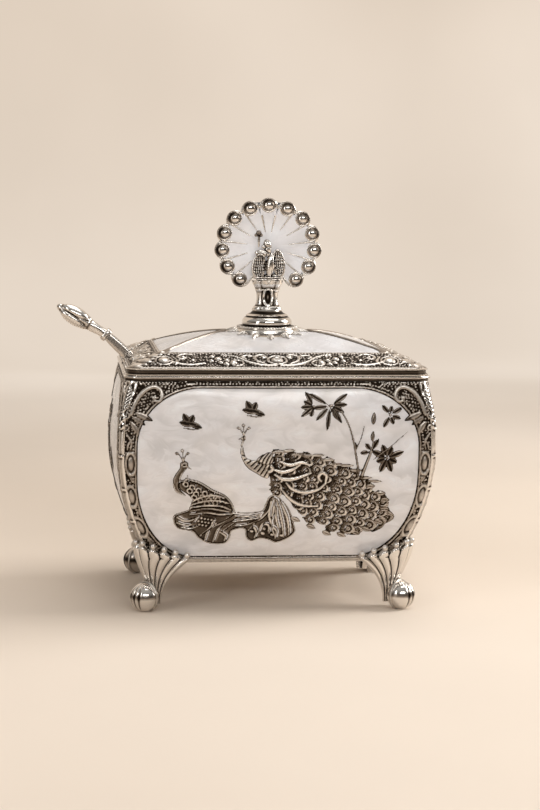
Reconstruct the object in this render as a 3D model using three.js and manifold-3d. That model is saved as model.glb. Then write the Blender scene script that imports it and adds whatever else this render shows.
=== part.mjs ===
// Footed sugar box: a bowed body of four cast walls with enamel panels, a lift-off lid and a spoon.
// Millimetres, +Z up, front towards -Y, the ball feet standing on z = 0.
import * as THREE from "three";
import { mergeVertices } from "three/addons/utils/BufferGeometryUtils.js";
import Module from "manifold-3d";

const wasm = await Module();
wasm.setup();

// Body: half sizes at the waist, heights, and how far the walls draw in above and below it
const waistHalfWidth = 63;
const waistHalfDepth = 46.5;
const baseZ = 19.5;
const waistZ = 66;
const rimZ = 96;
const rimInset = 3;
const baseInset = 13;
const bow = 3;
const wallThickness = 2.6;
const basePlateThickness = 1.6;
const basePlateLip = 0.6;
const rimHeight = 2;
const rimLip = 1.2;
const rimLedge = 0.4;
const cornerLeg = 1.9;
const cornerLeafZ = 78;
const postProud = 0.45;
const seamGap = 0.4;

// Enamel panels and raised ornament on the walls
const borderWidth = 7;
const panelLowMargin = 2.4;
const panelHighMargin = 2.6;
const lowPanelCorner = { across: 24, rise: 34 };
const highPanelCorner = { across: 26, rise: 23 };
const pocketDepth = 1.3;
const enamelThickness = 0.85;
const enamelGap = 0.3;
const reliefHeight = 0.6;

// Lid: straight band, sloping ornamented edge, low roof and the skirt that locates it
const lidHalfWidth = waistHalfWidth - rimInset;
const lidHalfDepth = waistHalfDepth - rimInset;
const lidChamfer = 4.6;
const bandHeight = 2.9;
const roofRise = 12.1;
const roofFlatHalf = 5.5;
const lidWall = 2;
const ledgeThickness = 1.2;
const skirtThickness = 1.2;
const skirtDepth = 3.4;
const skirtClearance = 0.5;
const slopeWidth = 13.5;
const slopeCorner = 5;
const ribHalf = 0.8;
const lidPocketDepth = 1;
const lidEnamelThickness = 0.6;
const seatRadius = 13.4;
const seatRise = 0.6;

// Finial: turned base, stem, scalloped fan and the bird in front of it
const flangeRadius = 12.4;
const flangeThickness = 0.9;
const collarRadius = 9.9;
const collarHeight = 4.4;
const neckRadius = 5.6;
const neckHeight = 2.6;
const stemHeight = 9.6;
const stemHalf = { width: 5.2, depth: 3.6 };
const fanHalf = { width: 20.2, height: 18 };
const fanThickness = 2.4;
const fanPocket = 0.9;
const fanEnamelThickness = 0.5;
const fanRim = 3;
const lobeCount = 13;
const lobeStep = 23.75;
const lobeRadius = 2.2;
const beadRadius = 2.3;
const birdGap = 0.3;
const birdHalfWidth = 7;

// Legs
const ballOut = 2.3;
const legFootIn = 0.8;
const legTopOut = 5.9;
const ballRadius = 5.8;
const ballFlat = 0.15;
const legFoot = 1;
const legGap = 0.3;
const legTop = 28;
const legFall = 6.5;
const wingTop = 22;
const wingFoot = 3.4;
const legThickness = 2.2;
const fluteCount = 5;
const fluteDepth = 0.7;
const padRadius = 5;
const padIn = 5.5;
const padDepth = 6;
const padBridge = { reach: 8, half: 5 };
const screw = { shank: 1.5, head: 3, headHeight: 1.4, clearance: 0.3, reach: 5 };

// Spoon
const handleTilt = 43;
const handleHalf = { width: 2.5, thickness: 2.1 };
const spoonGap = 0.3;
const outerStraight = 16;
const knobBend = 12;
const knobHalf = { length: 8.8, radius: 4.2 };
const neckLength = 6.5;
const innerStraight = 19;
const bowlTilt = 60;
const bowl = { length: 28, halfWidth: 9, depth: 4.6, wall: 1.1 };
const notchClearance = 0.8;

const planDifference = waistHalfWidth - waistHalfDepth;
const wallBottom = baseZ + basePlateThickness;
const wallTop = rimZ - rimHeight;
const farOut = waistHalfWidth + 30;
const nearIn = 15;
const bodyLevels = 6;

const silver = new THREE.MeshStandardMaterial({ color: 0xb9b3aa, metalness: 1, roughness: 0.3 });
const enamel = new THREE.MeshStandardMaterial({ color: 0xdcdde0, metalness: 0, roughness: 0.25 });
const steel = new THREE.MeshStandardMaterial({ color: 0x8d8d90, metalness: 1, roughness: 0.4 });

// Each side in its own frame: u runs along it and out runs away from the middle of the box
const sides = [
  { name: "front", angle: 0, shift: planDifference, reach: waistHalfDepth, lid: lidHalfDepth },
  { name: "right", angle: 90, shift: -planDifference, reach: waistHalfWidth, lid: lidHalfWidth },
  { name: "back", angle: 180, shift: planDifference, reach: waistHalfDepth, lid: lidHalfDepth },
  { name: "left", angle: 270, shift: -planDifference, reach: waistHalfWidth, lid: lidHalfWidth },
];

// General helpers

function steps(from, to, count) {
  return Array.from({ length: count + 1 }, (_, i) => from + ((to - from) * i) / count);
}

function radians(degrees) {
  return THREE.MathUtils.degToRad(degrees);
}

function solidOf(geometry) {
  const bare = new THREE.BufferGeometry();
  const source = geometry.index ? geometry.toNonIndexed() : geometry;
  bare.setAttribute("position", source.getAttribute("position"));
  const merged = mergeVertices(bare, 1e-4);
  const vertProperties = merged.attributes.position.array;
  const triVerts = new Uint32Array(merged.index.array);
  return new wasm.Manifold(new wasm.Mesh({ numProp: 3, vertProperties, triVerts }));
}

function geometryOf(solid) {
  const mesh = solid.getMesh();
  const geometry = new THREE.BufferGeometry();
  geometry.setAttribute("position", new THREE.BufferAttribute(mesh.vertProperties, 3));
  geometry.setIndex(new THREE.BufferAttribute(mesh.triVerts, 1));
  geometry.computeVertexNormals();
  return geometry;
}

function meshOf(name, solid, material) {
  const mesh = new THREE.Mesh(geometryOf(solid), material);
  mesh.name = name;
  return mesh;
}

function joined(solids) {
  return solids.reduce((whole, solid) => whole.add(solid));
}

// Triangles over a ring of points, turned the way the ring turns
function capOf(ring) {
  const normal = new THREE.Vector3();
  ring.forEach((p, i) => normal.add(p.clone().cross(ring[(i + 1) % ring.length])));
  normal.normalize();
  const across = ring[1].clone().sub(ring[0]).projectOnPlane(normal).normalize();
  const up = normal.clone().cross(across);
  const flat = ring.map((p) => new THREE.Vector2(p.dot(across), p.dot(up)));
  return THREE.ShapeUtils.triangulateShape(flat, []);
}

// A closed solid through rings with equal point counts, each turning anticlockwise seen from its end
function skin(rings) {
  const count = rings[0].length;
  const last = (rings.length - 1) * count;
  const faces = [];
  for (let level = 0; level < last; level += count) {
    for (let i = 0; i < count; i++) {
      const a = level + i;
      const b = level + ((i + 1) % count);
      faces.push(a, b, b + count, a, b + count, a + count);
    }
  }
  capOf(rings[0]).forEach(([a, b, c]) => faces.push(a, c, b));
  capOf(rings.at(-1)).forEach(([a, b, c]) => faces.push(last + a, last + b, last + c));
  const geometry = new THREE.BufferGeometry().setFromPoints(rings.flat());
  geometry.setIndex(faces);
  return solidOf(geometry);
}

function levelRing(points, z) {
  return points.map((p) => new THREE.Vector3(p.x, p.y, z));
}

// A plan point from a side's own u and out
function onPlan(u, out, angle) {
  return new THREE.Vector2(u, -out).rotateAround(new THREE.Vector2(), radians(angle));
}

function ellipsePoints([u, z, halfU, halfZ, tilt = 0], grow = 0, count = 8) {
  const curve = new THREE.EllipseCurve(
    u, z, halfU + grow, halfZ + grow, 0, 2 * Math.PI, false, radians(tilt),
  );
  return curve.getPoints(count).slice(0, -1);
}

function cylinder(radius, low, high, x = 0, y = 0, count = 20) {
  const geometry = new THREE.CylinderGeometry(radius, radius, high - low, count);
  return solidOf(geometry.rotateX(Math.PI / 2).translate(x, y, (low + high) / 2));
}

function ball(x, y, z, halfX, halfY, halfZ, around = 8, rows = 6) {
  const geometry = new THREE.SphereGeometry(1, around, rows).rotateX(Math.PI / 2);
  return solidOf(geometry.scale(halfX, halfY, halfZ).translate(x, y, z));
}

function turned(profile, count = 20) {
  const points = profile.map(([r, z]) => new THREE.Vector2(r, z));
  return solidOf(new THREE.LatheGeometry(points, count).rotateX(Math.PI / 2));
}

// How far in from a side its cutting shapes start, clear of the inner faces of the walls
function nearOf(side) {
  return nearIn + Math.max(-side.shift, 0);
}

// A prism that stands on a wall's u and z plane and runs outwards through the wall
function wallPrism(points, side) {
  const shape = new THREE.Shape(points);
  const near = nearOf(side);
  const geometry = new THREE.ExtrudeGeometry(shape, { depth: farOut - near, bevelEnabled: false });
  geometry.rotateX(Math.PI / 2).translate(0, -near, 0);
  return solidOf(geometry.rotateZ(radians(side.angle)));
}

// The bowed body

function swell(z) {
  const span = z > waistZ ? rimZ - waistZ : waistZ - baseZ;
  return 1 - ((z - waistZ) / span) ** 2;
}

function drawIn(z) {
  return (z > waistZ ? rimInset : baseInset) * (1 - swell(z));
}

function cornerLegAt(z) {
  return THREE.MathUtils.lerp(cornerLeg, lidChamfer, THREE.MathUtils.smoothstep(z, cornerLeafZ, wallTop));
}

function bodyOutline(z, grow) {
  return sides.flatMap((side) => {
    const reach = side.reach - drawIn(z) + grow;
    const half = reach + side.shift - cornerLegAt(z);
    return steps(-1, 1, 4).map((t) => onPlan(half * t, reach + bow * swell(z) * (1 - t * t), side.angle));
  });
}

function bodySolid(grow, low = wallBottom, high = wallTop) {
  return skin(steps(low, high, bodyLevels).map((z) => levelRing(bodyOutline(z, grow), z)));
}

// The share of the plan between two corners that one wall fills
function wallWedge(side) {
  const rings = steps(wallBottom - 1, wallTop + 1, bodyLevels).map((z) => {
    const half = (out) => out + side.shift - cornerLegAt(z);
    const near = nearOf(side);
    const corners = [[-half(farOut), farOut], [half(farOut), farOut], [half(near), near], [-half(near), near]];
    return levelRing(corners.map(([u, out]) => onPlan(u, out, side.angle)), z);
  });
  return skin(rings);
}

function cornerWedge(signX, signY) {
  const near = nearIn + planDifference;
  const rings = steps(wallBottom - 1, wallTop + 1, bodyLevels).map((z) => {
    const half = cornerLegAt(z) - seamGap;
    const band = [[farOut, -half], [farOut, half], [near, half], [near, -half]].map(
      ([x, offset]) => new THREE.Vector2(signX * x, signY * (x - planDifference + offset)),
    );
    return levelRing(signX * signY > 0 ? band : band.reverse(), z);
  });
  return skin(rings);
}

function panelPoints(side, grow) {
  const halfU = side.reach + side.shift - borderWidth + grow;
  const low = baseZ + panelLowMargin - grow;
  const high = wallTop - panelHighMargin + grow;
  const corners = [
    [1, low, 1, lowPanelCorner],
    [1, high, -1, highPanelCorner],
    [-1, high, -1, highPanelCorner],
    [-1, low, 1, lowPanelCorner],
  ];
  return corners.flatMap(([sideways, z, upwards, { across, rise }], quarter) =>
    steps(quarter * 90 - 90, quarter * 90, 5).map((angle) => {
      const u = sideways * (halfU - across) + across * Math.cos(radians(angle));
      return new THREE.Vector2(u, z + upwards * rise + rise * Math.sin(radians(angle)));
    }),
  );
}

// Raised relief as ellipses about the panel's middle: u, z, half length, half width and tilt.
// It is drawn for a panel of reliefPanel's half sizes and stretched with the real one.
const reliefPanel = { long: 56, short: 39.5, height: 34.3 };
const birdScene = [
  [22, -8.8, 26, 10.5, -17], [-1, -2.3, 10, 8.6, -30], [-10.5, 9.2, 7.6, 2, -55],
  [-28, -11.8, 12.6, 7.4, -24], [-39.4, 1.7, 6.4, 1.9, 80], [-14, -20.3, 23, 6.4, 2],
];
const twigs = [[28, 12.2, 14.4, 1, 103], [18.5, 26.7, 11, 2.9, 4], [43.3, 6.5, 5, 4.4, 0]];
const butterflies = [[-34.7, 20.9, 4.6, 2.6, -8], [-11.7, 27.1, 4.1, 2.2, -8]];
const sideSpray = [
  [-4, -1.3, 18, 1.1, 62], [3, 8.7, 7, 5.4, 30], [6, -10.3, 8.4, 4.8, 24], [-14, -21.3, 8, 5, 20],
];
const borderBosses = [
  [2.8, 5.2, 2.4, 5, 0], [1.8, -9.5, 2.4, 5, 8], [-1.6, -22.7, 2.4, 5, 24], [-5, 28.3, 7, 4.6, -50],
];

function reliefPoints(item, side, grow) {
  const drawnHalf = side.shift > 0 ? reliefPanel.long : reliefPanel.short;
  const stretch = (side.reach + side.shift - borderWidth) / drawnHalf;
  const low = baseZ + panelLowMargin;
  const halfHeight = (wallTop - panelHighMargin - low) / 2;
  const rise = halfHeight / reliefPanel.height;
  return ellipsePoints(item, grow).map((p) => new THREE.Vector2(p.x * stretch, low + halfHeight + p.y * rise));
}

function borderRelief(side) {
  const edge = side.shift > 0 ? reliefPanel.long : reliefPanel.short;
  return [-1, 1].flatMap((sign) =>
    borderBosses.map(([u, z, halfU, halfZ, turn]) => [sign * (edge + u), z, halfU, halfZ, sign * turn]),
  );
}

function makeWall(side) {
  const layer = (outer, inner) =>
    bodySolid(outer, wallBottom, wallTop).subtract(bodySolid(inner, wallBottom - 1, wallTop + 1));
  const wedge = wallWedge(side);
  const isLong = side.shift > 0;
  const scene = isLong ? [...birdScene, ...twigs, ...butterflies] : sideSpray;
  const relief = [...scene, ...borderRelief(side)];
  const raised = (grow) => joined(relief.map((item) => wallPrism(reliefPoints(item, side, grow), side)));
  const pocket = wallPrism(panelPoints(side, 0), side).intersect(layer(1, -pocketDepth));
  const casting = layer(0, -wallThickness)
    .intersect(wedge)
    .subtract(pocket)
    .add(raised(0).intersect(layer(reliefHeight, -pocketDepth - 0.5)).intersect(wedge));
  const fill = wallPrism(panelPoints(side, -enamelGap), side)
    .intersect(layer(-pocketDepth + enamelGap + enamelThickness, -pocketDepth + enamelGap))
    .subtract(raised(enamelGap));
  return [meshOf(`${side.name}_wall`, casting, silver), meshOf(`${side.name}_enamel`, fill, enamel)];
}

function makeCornerPosts() {
  const shell = bodySolid(postProud).subtract(bodySolid(-wallThickness, wallBottom - 1, wallTop + 1));
  return places.map(([signX, signY, name]) => {
    return meshOf(`corner_post_${name}`, shell.intersect(cornerWedge(signX, signY)), silver);
  });
}

// Octagonal plan of the lid and the rim, drawn in by an inset
function lidOutline(inset, chamfer = lidChamfer) {
  return sides.flatMap((side) => {
    const reach = side.lid - inset;
    const half = reach + side.shift - chamfer;
    return [onPlan(-half, reach, side.angle), onPlan(half, reach, side.angle)];
  });
}

const rimOpening = wallThickness + rimLedge;

function makeRim() {
  const outer = skin([wallTop, rimZ].map((z) => levelRing(lidOutline(-rimLip), z)));
  const opening = skin([wallTop - 1, rimZ + 1].map((z) => levelRing(lidOutline(rimOpening), z)));
  return meshOf("rim_frame", outer.subtract(opening), silver);
}

// Legs, placed from the corner of the base

const baseHalfWidth = waistHalfWidth - baseInset;
const ballX = baseHalfWidth + ballOut;
const ballY = ballX - planDifference;
const padX = baseHalfWidth - padIn;
const padY = padX - planDifference;
const places = [
  [-1, -1, "front_left"],
  [1, -1, "front_right"],
  [-1, 1, "back_left"],
  [1, 1, "back_right"],
];

function legCorner(z) {
  return baseHalfWidth + THREE.MathUtils.lerp(-legFootIn, legTopOut, THREE.MathUtils.smoothstep(z, 0, legTop));
}

// One ring of the leg at a share of its height: fluted outside, plain inside
function legRing(share) {
  const point = (along, depthIn, flute) => {
    const z = THREE.MathUtils.lerp(legFoot, legTop - legFall * Math.abs(along), share);
    const wing = wingFoot + (wingTop - wingFoot) * Math.min(z / wingTop, 1) ** 2;
    const corner = legCorner(z) + flute * fluteDepth - depthIn;
    const back = legCorner(z) - wing * Math.abs(along);
    const x = along < 0 ? Math.min(back, corner) : corner;
    const y = (along > 0 ? Math.min(back, corner) : corner) - planDifference;
    return new THREE.Vector3(x, -y, z);
  };
  const outside = steps(-1, 1, fluteCount * 4).map((along, i) => point(along, 0, 1 - (i % 2)));
  const thickness = legThickness * (0.7 + 0.3 * share);
  const inside = [1, 0, -1].map((along) => point(along, thickness, 0));
  return [...outside, ...inside];
}

function makeLeg(signX, signY, name) {
  const shell = skin(steps(0, 1, 4).map(legRing));
  const foot = ball(ballX, -ballY, ballRadius - ballFlat, ballRadius, ballRadius, ballRadius, 12, 8);
  const pad = cylinder(padRadius, baseZ - padDepth, baseZ, padX, -padY, 12);
  const { reach, half } = padBridge;
  const bridgePlan = [[-half, 0], [reach - half, -reach], [reach, half - reach], [0, half]].map(
    ([x, y]) => new THREE.Vector2(padX + x, -padY + y),
  );
  const bridge = skin([baseZ - padDepth, baseZ].map((z) => levelRing(bridgePlan, z)));
  const hole = cylinder(screw.shank + screw.clearance, baseZ - screw.reach - screw.clearance, baseZ + 1,
    padX, -padY, 10);
  const body = bodySolid(postProud + legGap);
  const plateOutline = bodyOutline(wallBottom, basePlateLip + legGap);
  const plate = skin([baseZ, wallBottom].map((z) => levelRing(plateOutline, z)));
  const ground = cylinder(farOut, -ballRadius, 0, 0, 0, 4);
  const whole = shell.add(pad).add(bridge).subtract(body).subtract(plate).add(foot);
  const leg = whole.subtract(hole).subtract(ground);
  return meshOf(`leg_${name}`, leg.scale([signX, -signY, 1]), silver);
}

function makeLegScrew(signX, signY, name) {
  const head = cylinder(screw.head, wallBottom, wallBottom + screw.headHeight, 0, 0, 12);
  const shank = cylinder(screw.shank, baseZ - screw.reach, wallBottom + 0.5, 0, 0, 10);
  const mesh = meshOf(`leg_screw_${name}`, head.add(shank), steel);
  mesh.position.set(signX * padX, signY * padY, 0);
  return mesh;
}

function makeBasePlate() {
  const outline = bodyOutline(wallBottom, basePlateLip);
  const plate = skin([baseZ, wallBottom].map((z) => levelRing(outline, z)));
  const holes = places.map(([signX, signY]) =>
    cylinder(screw.shank + screw.clearance, baseZ - 1, wallBottom + 1, signX * padX, signY * padY, 10),
  );
  return meshOf("base_plate", plate.subtract(joined(holes)), silver);
}

// Lid

const bandTop = rimZ + bandHeight;
const seatZ = bandTop + roofRise + seatRise;

function roofZ(inset) {
  return bandTop + roofRise * (1 - (1 - inset / lidHalfDepth) ** 1.5);
}

// The roof's outer shape, let down by a drop and closed at a given bottom
function roofSolid(drop, bottom) {
  const insets = steps(0, lidHalfDepth - roofFlatHalf, 8);
  const chamferAt = (inset) => Math.max(lidChamfer * (1 - inset / (2 * slopeWidth)), 0.3);
  const rings = insets.map((inset) => levelRing(lidOutline(inset, chamferAt(inset)), roofZ(inset) - drop));
  return skin([levelRing(lidOutline(0), bottom), ...rings]);
}

const skirtInset = rimOpening + skirtClearance;
const skirtInner = skirtInset + skirtThickness;
const ledgeTop = rimZ + ledgeThickness;

function lidCavity() {
  const insets = steps(lidWall * 2, lidHalfDepth - roofFlatHalf, 6);
  const rings = insets.map((inset) =>
    levelRing(lidOutline(inset + lidWall, lidChamfer / 2), roofZ(inset) - lidWall),
  );
  return skin([levelRing(lidOutline(lidWall), ledgeTop), ...rings]);
}

// The spoon's handle crosses the rim's inner top edge on this line
const tilt = radians(handleTilt);
const along = new THREE.Vector2(-Math.cos(tilt), Math.sin(tilt));
const above = new THREE.Vector2(Math.sin(tilt), Math.cos(tilt));
const restEdge = new THREE.Vector2(-(lidHalfWidth - rimOpening), rimZ);
const crossing = restEdge.clone().addScaledVector(above, handleHalf.thickness + spoonGap);

function notchCutter() {
  const lift = handleHalf.thickness + notchClearance;
  const outer = crossing.clone().addScaledVector(above, lift).addScaledVector(along, 16);
  const inner = crossing.clone().addScaledVector(above, lift).addScaledVector(along, -5);
  const bottom = rimZ - skirtDepth - 1;
  const points = [new THREE.Vector2(outer.x, bottom), new THREE.Vector2(inner.x, bottom), inner, outer];
  const half = handleHalf.width + notchClearance;
  const geometry = new THREE.ExtrudeGeometry(new THREE.Shape(points), { depth: 2 * half, bevelEnabled: false });
  return solidOf(geometry.rotateX(Math.PI / 2).translate(0, half, 0));
}

function sectorPoints(side, grow) {
  const outer = side.lid - slopeWidth + grow;
  const inner = side.shift > 0 ? 2 - grow : -side.shift + 3 - grow;
  const half = (out) => out + side.shift - ribHalf * Math.SQRT2 + grow;
  const shoulder = half(outer - slopeCorner);
  const right = [[shoulder - 4, outer], [shoulder - 0.4, outer - 1.6], [shoulder, outer - slopeCorner],
    [half(inner), inner]];
  const left = right.map(([u, out]) => [-u, out]).reverse();
  return [...right, ...left].map(([u, out]) => onPlan(u, out, side.angle));
}

function sectorPrism(side, grow) {
  const outline = sectorPoints(side, grow);
  const prism = skin([rimZ, seatZ + 5].map((z) => levelRing(outline, z)));
  return prism.subtract(cylinder(seatRadius + 0.8 - grow, rimZ - 1, seatZ + 6));
}

function slopeRelief() {
  return sides.flatMap((side) => {
    const middle = side.lid - slopeWidth / 2;
    const spread = (side.lid + side.shift) / 2;
    return [-1, 0, 1].map((place) => {
      const at = onPlan(place * spread, middle, side.angle);
      return ball(at.x, at.y, roofZ(slopeWidth / 2) - 0.4, 3.6, 3.6, 1.6);
    });
  });
}

function makeLid() {
  const lid = new THREE.Group();
  const prism = (inset, low, high) => skin([low, high].map((z) => levelRing(lidOutline(inset), z)));
  const opening = prism(skirtInner, rimZ - skirtDepth - 1, ledgeTop + 0.1);
  const skirt = prism(skirtInset, rimZ - skirtDepth, rimZ + 0.5);
  const seat = cylinder(seatRadius, seatZ - 3.4, seatZ, 0, 0, 28);
  const screwHole = cylinder(screw.shank + screw.clearance, seatZ - 8, seatZ + 1, 0, 0, 10);
  const relief = slopeRelief().filter((_, i) => i !== sides.length * 3 - 2);
  const pocketLayer = roofSolid(-1, rimZ).subtract(roofSolid(lidPocketDepth, rimZ - 1));
  const pockets = sides.map((side) => sectorPrism(side, 0).intersect(pocketLayer));
  const shell = joined([roofSolid(0, rimZ), seat, skirt, ...relief])
    .subtract(lidCavity())
    .subtract(opening)
    .subtract(screwHole)
    .subtract(notchCutter())
    .subtract(joined(pockets));
  lid.add(meshOf("lid_shell", shell, silver));
  const top = lidPocketDepth - enamelGap - lidEnamelThickness;
  const fillLayer = roofSolid(top, rimZ).subtract(roofSolid(lidPocketDepth - enamelGap, rimZ - 1));
  sides.forEach((side) => {
    const fill = sectorPrism(side, -enamelGap).intersect(fillLayer);
    lid.add(meshOf(`lid_enamel_${side.name}`, fill, enamel));
  });
  return lid;
}

// Finial

const collarZ = seatZ + flangeThickness;
const neckZ = collarZ + collarHeight;
const stemZ = neckZ + neckHeight;
const fanZ = stemZ + stemHeight;
const fanMiddle = fanZ + fanHalf.height - 1.6;
const finialScrewTop = neckZ - 1;

function makeFinialBase() {
  const body = turned([
    [0, seatZ], [flangeRadius, seatZ], [flangeRadius, collarZ], [collarRadius, collarZ + 0.3],
    [collarRadius + 0.3, collarZ + collarHeight / 2], [collarRadius - 0.6, neckZ - 0.4],
    [neckRadius + 1, stemZ - 0.8], [neckRadius, stemZ], [0, stemZ],
  ]);
  const hole = cylinder(screw.shank + screw.clearance, seatZ - 1, finialScrewTop + screw.clearance, 0, 0, 10);
  return meshOf("finial_base", body.subtract(hole), silver);
}

function makeFinialScrew() {
  const ceiling = roofZ(lidHalfDepth - roofFlatHalf) - lidWall;
  const head = cylinder(screw.head, ceiling - screw.headHeight, ceiling, 0, 0, 12);
  const shank = cylinder(screw.shank, ceiling - 0.5, finialScrewTop, 0, 0, 10);
  return meshOf("finial_screw", head.add(shank), steel);
}

function makeStem() {
  const rings = steps(0, 1, 5).map((share) => {
    const waist = 1 - 0.14 * Math.sin(Math.PI * share);
    const section = [0, 0, stemHalf.width * waist, stemHalf.depth * waist];
    return levelRing(ellipsePoints(section, 0, 14), stemZ + share * stemHeight);
  });
  return meshOf("finial_stem", skin(rings), silver);
}

function lobeAngle(index) {
  return radians(90 - (index - (lobeCount - 1) / 2) * lobeStep);
}

// A flat piece standing in the fan's plane, between two depths
function fanPlate(points, front, back) {
  const shape = new THREE.Shape(points);
  const geometry = new THREE.ExtrudeGeometry(shape, { depth: back - front, bevelEnabled: false });
  return solidOf(geometry.rotateX(Math.PI / 2).translate(0, back, 0));
}

function makeFan() {
  const rimPoint = (angle, reach) =>
    new THREE.Vector2(
      Math.cos(angle) * (fanHalf.width + reach),
      fanMiddle + Math.sin(angle) * (fanHalf.height + reach),
    );
  const scallops = Array.from({ length: lobeCount }, (_, i) => i).flatMap((i) => [
    rimPoint(lobeAngle(i - 0.5), 0.9),
    rimPoint(lobeAngle(i - 0.25), lobeRadius * 0.8),
    rimPoint(lobeAngle(i), lobeRadius),
    rimPoint(lobeAngle(i + 0.25), lobeRadius * 0.8),
  ]);
  const foot = [rimPoint(lobeAngle(lobeCount - 0.5), 0.9), new THREE.Vector2(stemHalf.width, fanZ),
    new THREE.Vector2(-stemHalf.width, fanZ)];
  const outline = [...scallops, ...foot];
  const half = fanThickness / 2;
  const inner = [0, fanMiddle, fanHalf.width - fanRim, fanHalf.height - fanRim];
  const beads = Array.from({ length: lobeCount }, (_, i) => {
    const at = rimPoint(lobeAngle(i), 0);
    return ball(at.x, 0, at.y, beadRadius, beadRadius, beadRadius, 8, 4);
  });
  const frame = fanPlate(outline.reverse(), -half, half)
    .subtract(fanPlate(ellipsePoints(inner, 0, 24), -half - 1, fanPocket - half))
    .add(joined(beads));
  const back = fanPocket - half - enamelGap;
  const fill = fanPlate(ellipsePoints(inner, -enamelGap, 24), back - fanEnamelThickness, back);
  return [meshOf("fan_frame", frame, silver), meshOf("fan_enamel", fill, enamel)];
}

// Body, breast, head, crest and tail as shares of the bird's half width: x, depth, z and half sizes
const birdParts = [
  [0, 0.34, -0.93, 1, 0.34, 0.86],
  [0, 0.46, -0.29, 0.36, 0.31, 0.66],
  [-0.03, 0.54, 0.31, 0.24, 0.24, 0.24],
  [-0.23, 0.49, 0.69, 0.2, 0.1, 0.29],
  [0, 0.33, -1.67, 0.63, 0.31, 0.6],
];

function makeBird() {
  const front = -fanThickness / 2 - birdGap;
  const blob = (x, depthIn, z, halfX, halfY, halfZ) =>
    ball(x, front - depthIn, fanMiddle + z, halfX, halfY, halfZ, 10);
  const parts = birdParts.map((row) => blob(...row.map((share) => share * birdHalfWidth)));
  return meshOf("peacock_figure", joined(parts), silver);
}

// Spoon, drawn along its own line in the plane y = 0

function spoonRing(centre, direction, halfWidth, halfThickness) {
  const normal = new THREE.Vector2(-direction.y, direction.x);
  return ellipsePoints([0, 0, halfWidth, halfThickness], 0, 10).map((p) =>
    new THREE.Vector3(centre.x + normal.x * p.y, p.x, centre.y + normal.y * p.y),
  );
}

function spoonBowl(start, direction) {
  const normal = new THREE.Vector2(-direction.y, direction.x);
  const rings = steps(0.04, 0.98, 9).map((share) => {
    const fullness = Math.sqrt(1 - ((share - 0.55) / 0.6) ** 2) * Math.min(1, share * 4 + 0.3);
    const half = Math.max(bowl.halfWidth * fullness, 1.6);
    const depth = Math.max(bowl.depth * fullness, 1.4);
    const at = start.clone().addScaledVector(direction, bowl.length * share);
    const arc = (halfArc, deep, from, to) =>
      steps(from, to, 8).map((angle) => {
        const side = Math.cos(radians(angle)) * halfArc;
        const rise = Math.sin(radians(angle)) * deep;
        return new THREE.Vector3(at.x + normal.x * rise, side, at.y + normal.y * rise);
      });
    return [...arc(half, depth, 180, 360), ...arc(half - bowl.wall * 0.8, depth - bowl.wall, 360, 180)];
  });
  return skin(rings);
}

function makeSpoon() {
  const down = along.clone().negate();
  const steep = new THREE.Vector2(Math.cos(radians(bowlTilt)), -Math.sin(radians(bowlTilt)));
  const bend = crossing.clone().addScaledVector(down, innerStraight);
  const tipZ = wallBottom + spoonGap + bowl.depth / 4;
  const fall = (bend.y - tipZ) / -steep.y;
  const bowlStart = bend.clone().addScaledVector(steep, fall - bowl.length);
  const collarAt = crossing.clone().addScaledVector(along, outerStraight);
  const knobWay = new THREE.Vector2(-Math.cos(tilt - radians(knobBend)), Math.sin(tilt - radians(knobBend)));
  const knobAt = collarAt.clone().addScaledVector(knobWay, neckLength + knobHalf.length);
  const { width, thickness } = handleHalf;
  const halfBend = down.clone().add(steep).normalize();
  const line = [
    [knobAt, knobWay.clone().negate(), 1.3, 1.3],
    [collarAt, down, 1.9, 1.8],
    [collarAt.clone().addScaledVector(down, 2), down, width * 0.85, thickness * 0.9],
    [crossing.clone().addScaledVector(along, 5), down, width, thickness],
    [bend, halfBend, width * 0.9, thickness * 0.9],
    [bend.clone().lerp(bowlStart, 0.4), steep, width * 0.7, thickness * 0.75],
    [bowlStart.clone().addScaledVector(steep, 2.4), steep, 1.8, 1.3],
  ];
  const handle = skin(line.map((station) => spoonRing(...station)));
  const knob = ball(0, 0, 0, knobHalf.length, knobHalf.radius, knobHalf.radius)
    .rotate([0, handleTilt - knobBend, 0])
    .translate([knobAt.x, 0, knobAt.y]);
  const ringWay = [-0.9, 0.9].map((offset) =>
    spoonRing(collarAt.clone().addScaledVector(down, offset), down, 3, 2.8),
  );
  const whole = handle.add(knob).add(skin(ringWay)).add(spoonBowl(bowlStart, steep));
  return meshOf("spoon", whole, silver);
}

// Assembly

const model = new THREE.Group();
const base = new THREE.Group();
base.add(...sides.flatMap(makeWall), ...makeCornerPosts(), makeRim(), makeBasePlate());
places.forEach((place) => base.add(makeLeg(...place), makeLegScrew(...place)));
const lid = makeLid();
lid.add(makeFinialBase(), makeFinialScrew(), makeStem(), ...makeFan(), makeBird());
model.add(base, lid, makeSpoon());

// The part's origin is on the ground under the middle of its bounding box
const middle = new THREE.Box3().setFromObject(model).getCenter(new THREE.Vector3());
model.position.set(-middle.x, -middle.y, 0);

const root = new THREE.Group();
root.add(model);

export default root;
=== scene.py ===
import math
import bpy
import numpy as np
from mathutils import Matrix, Vector


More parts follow.
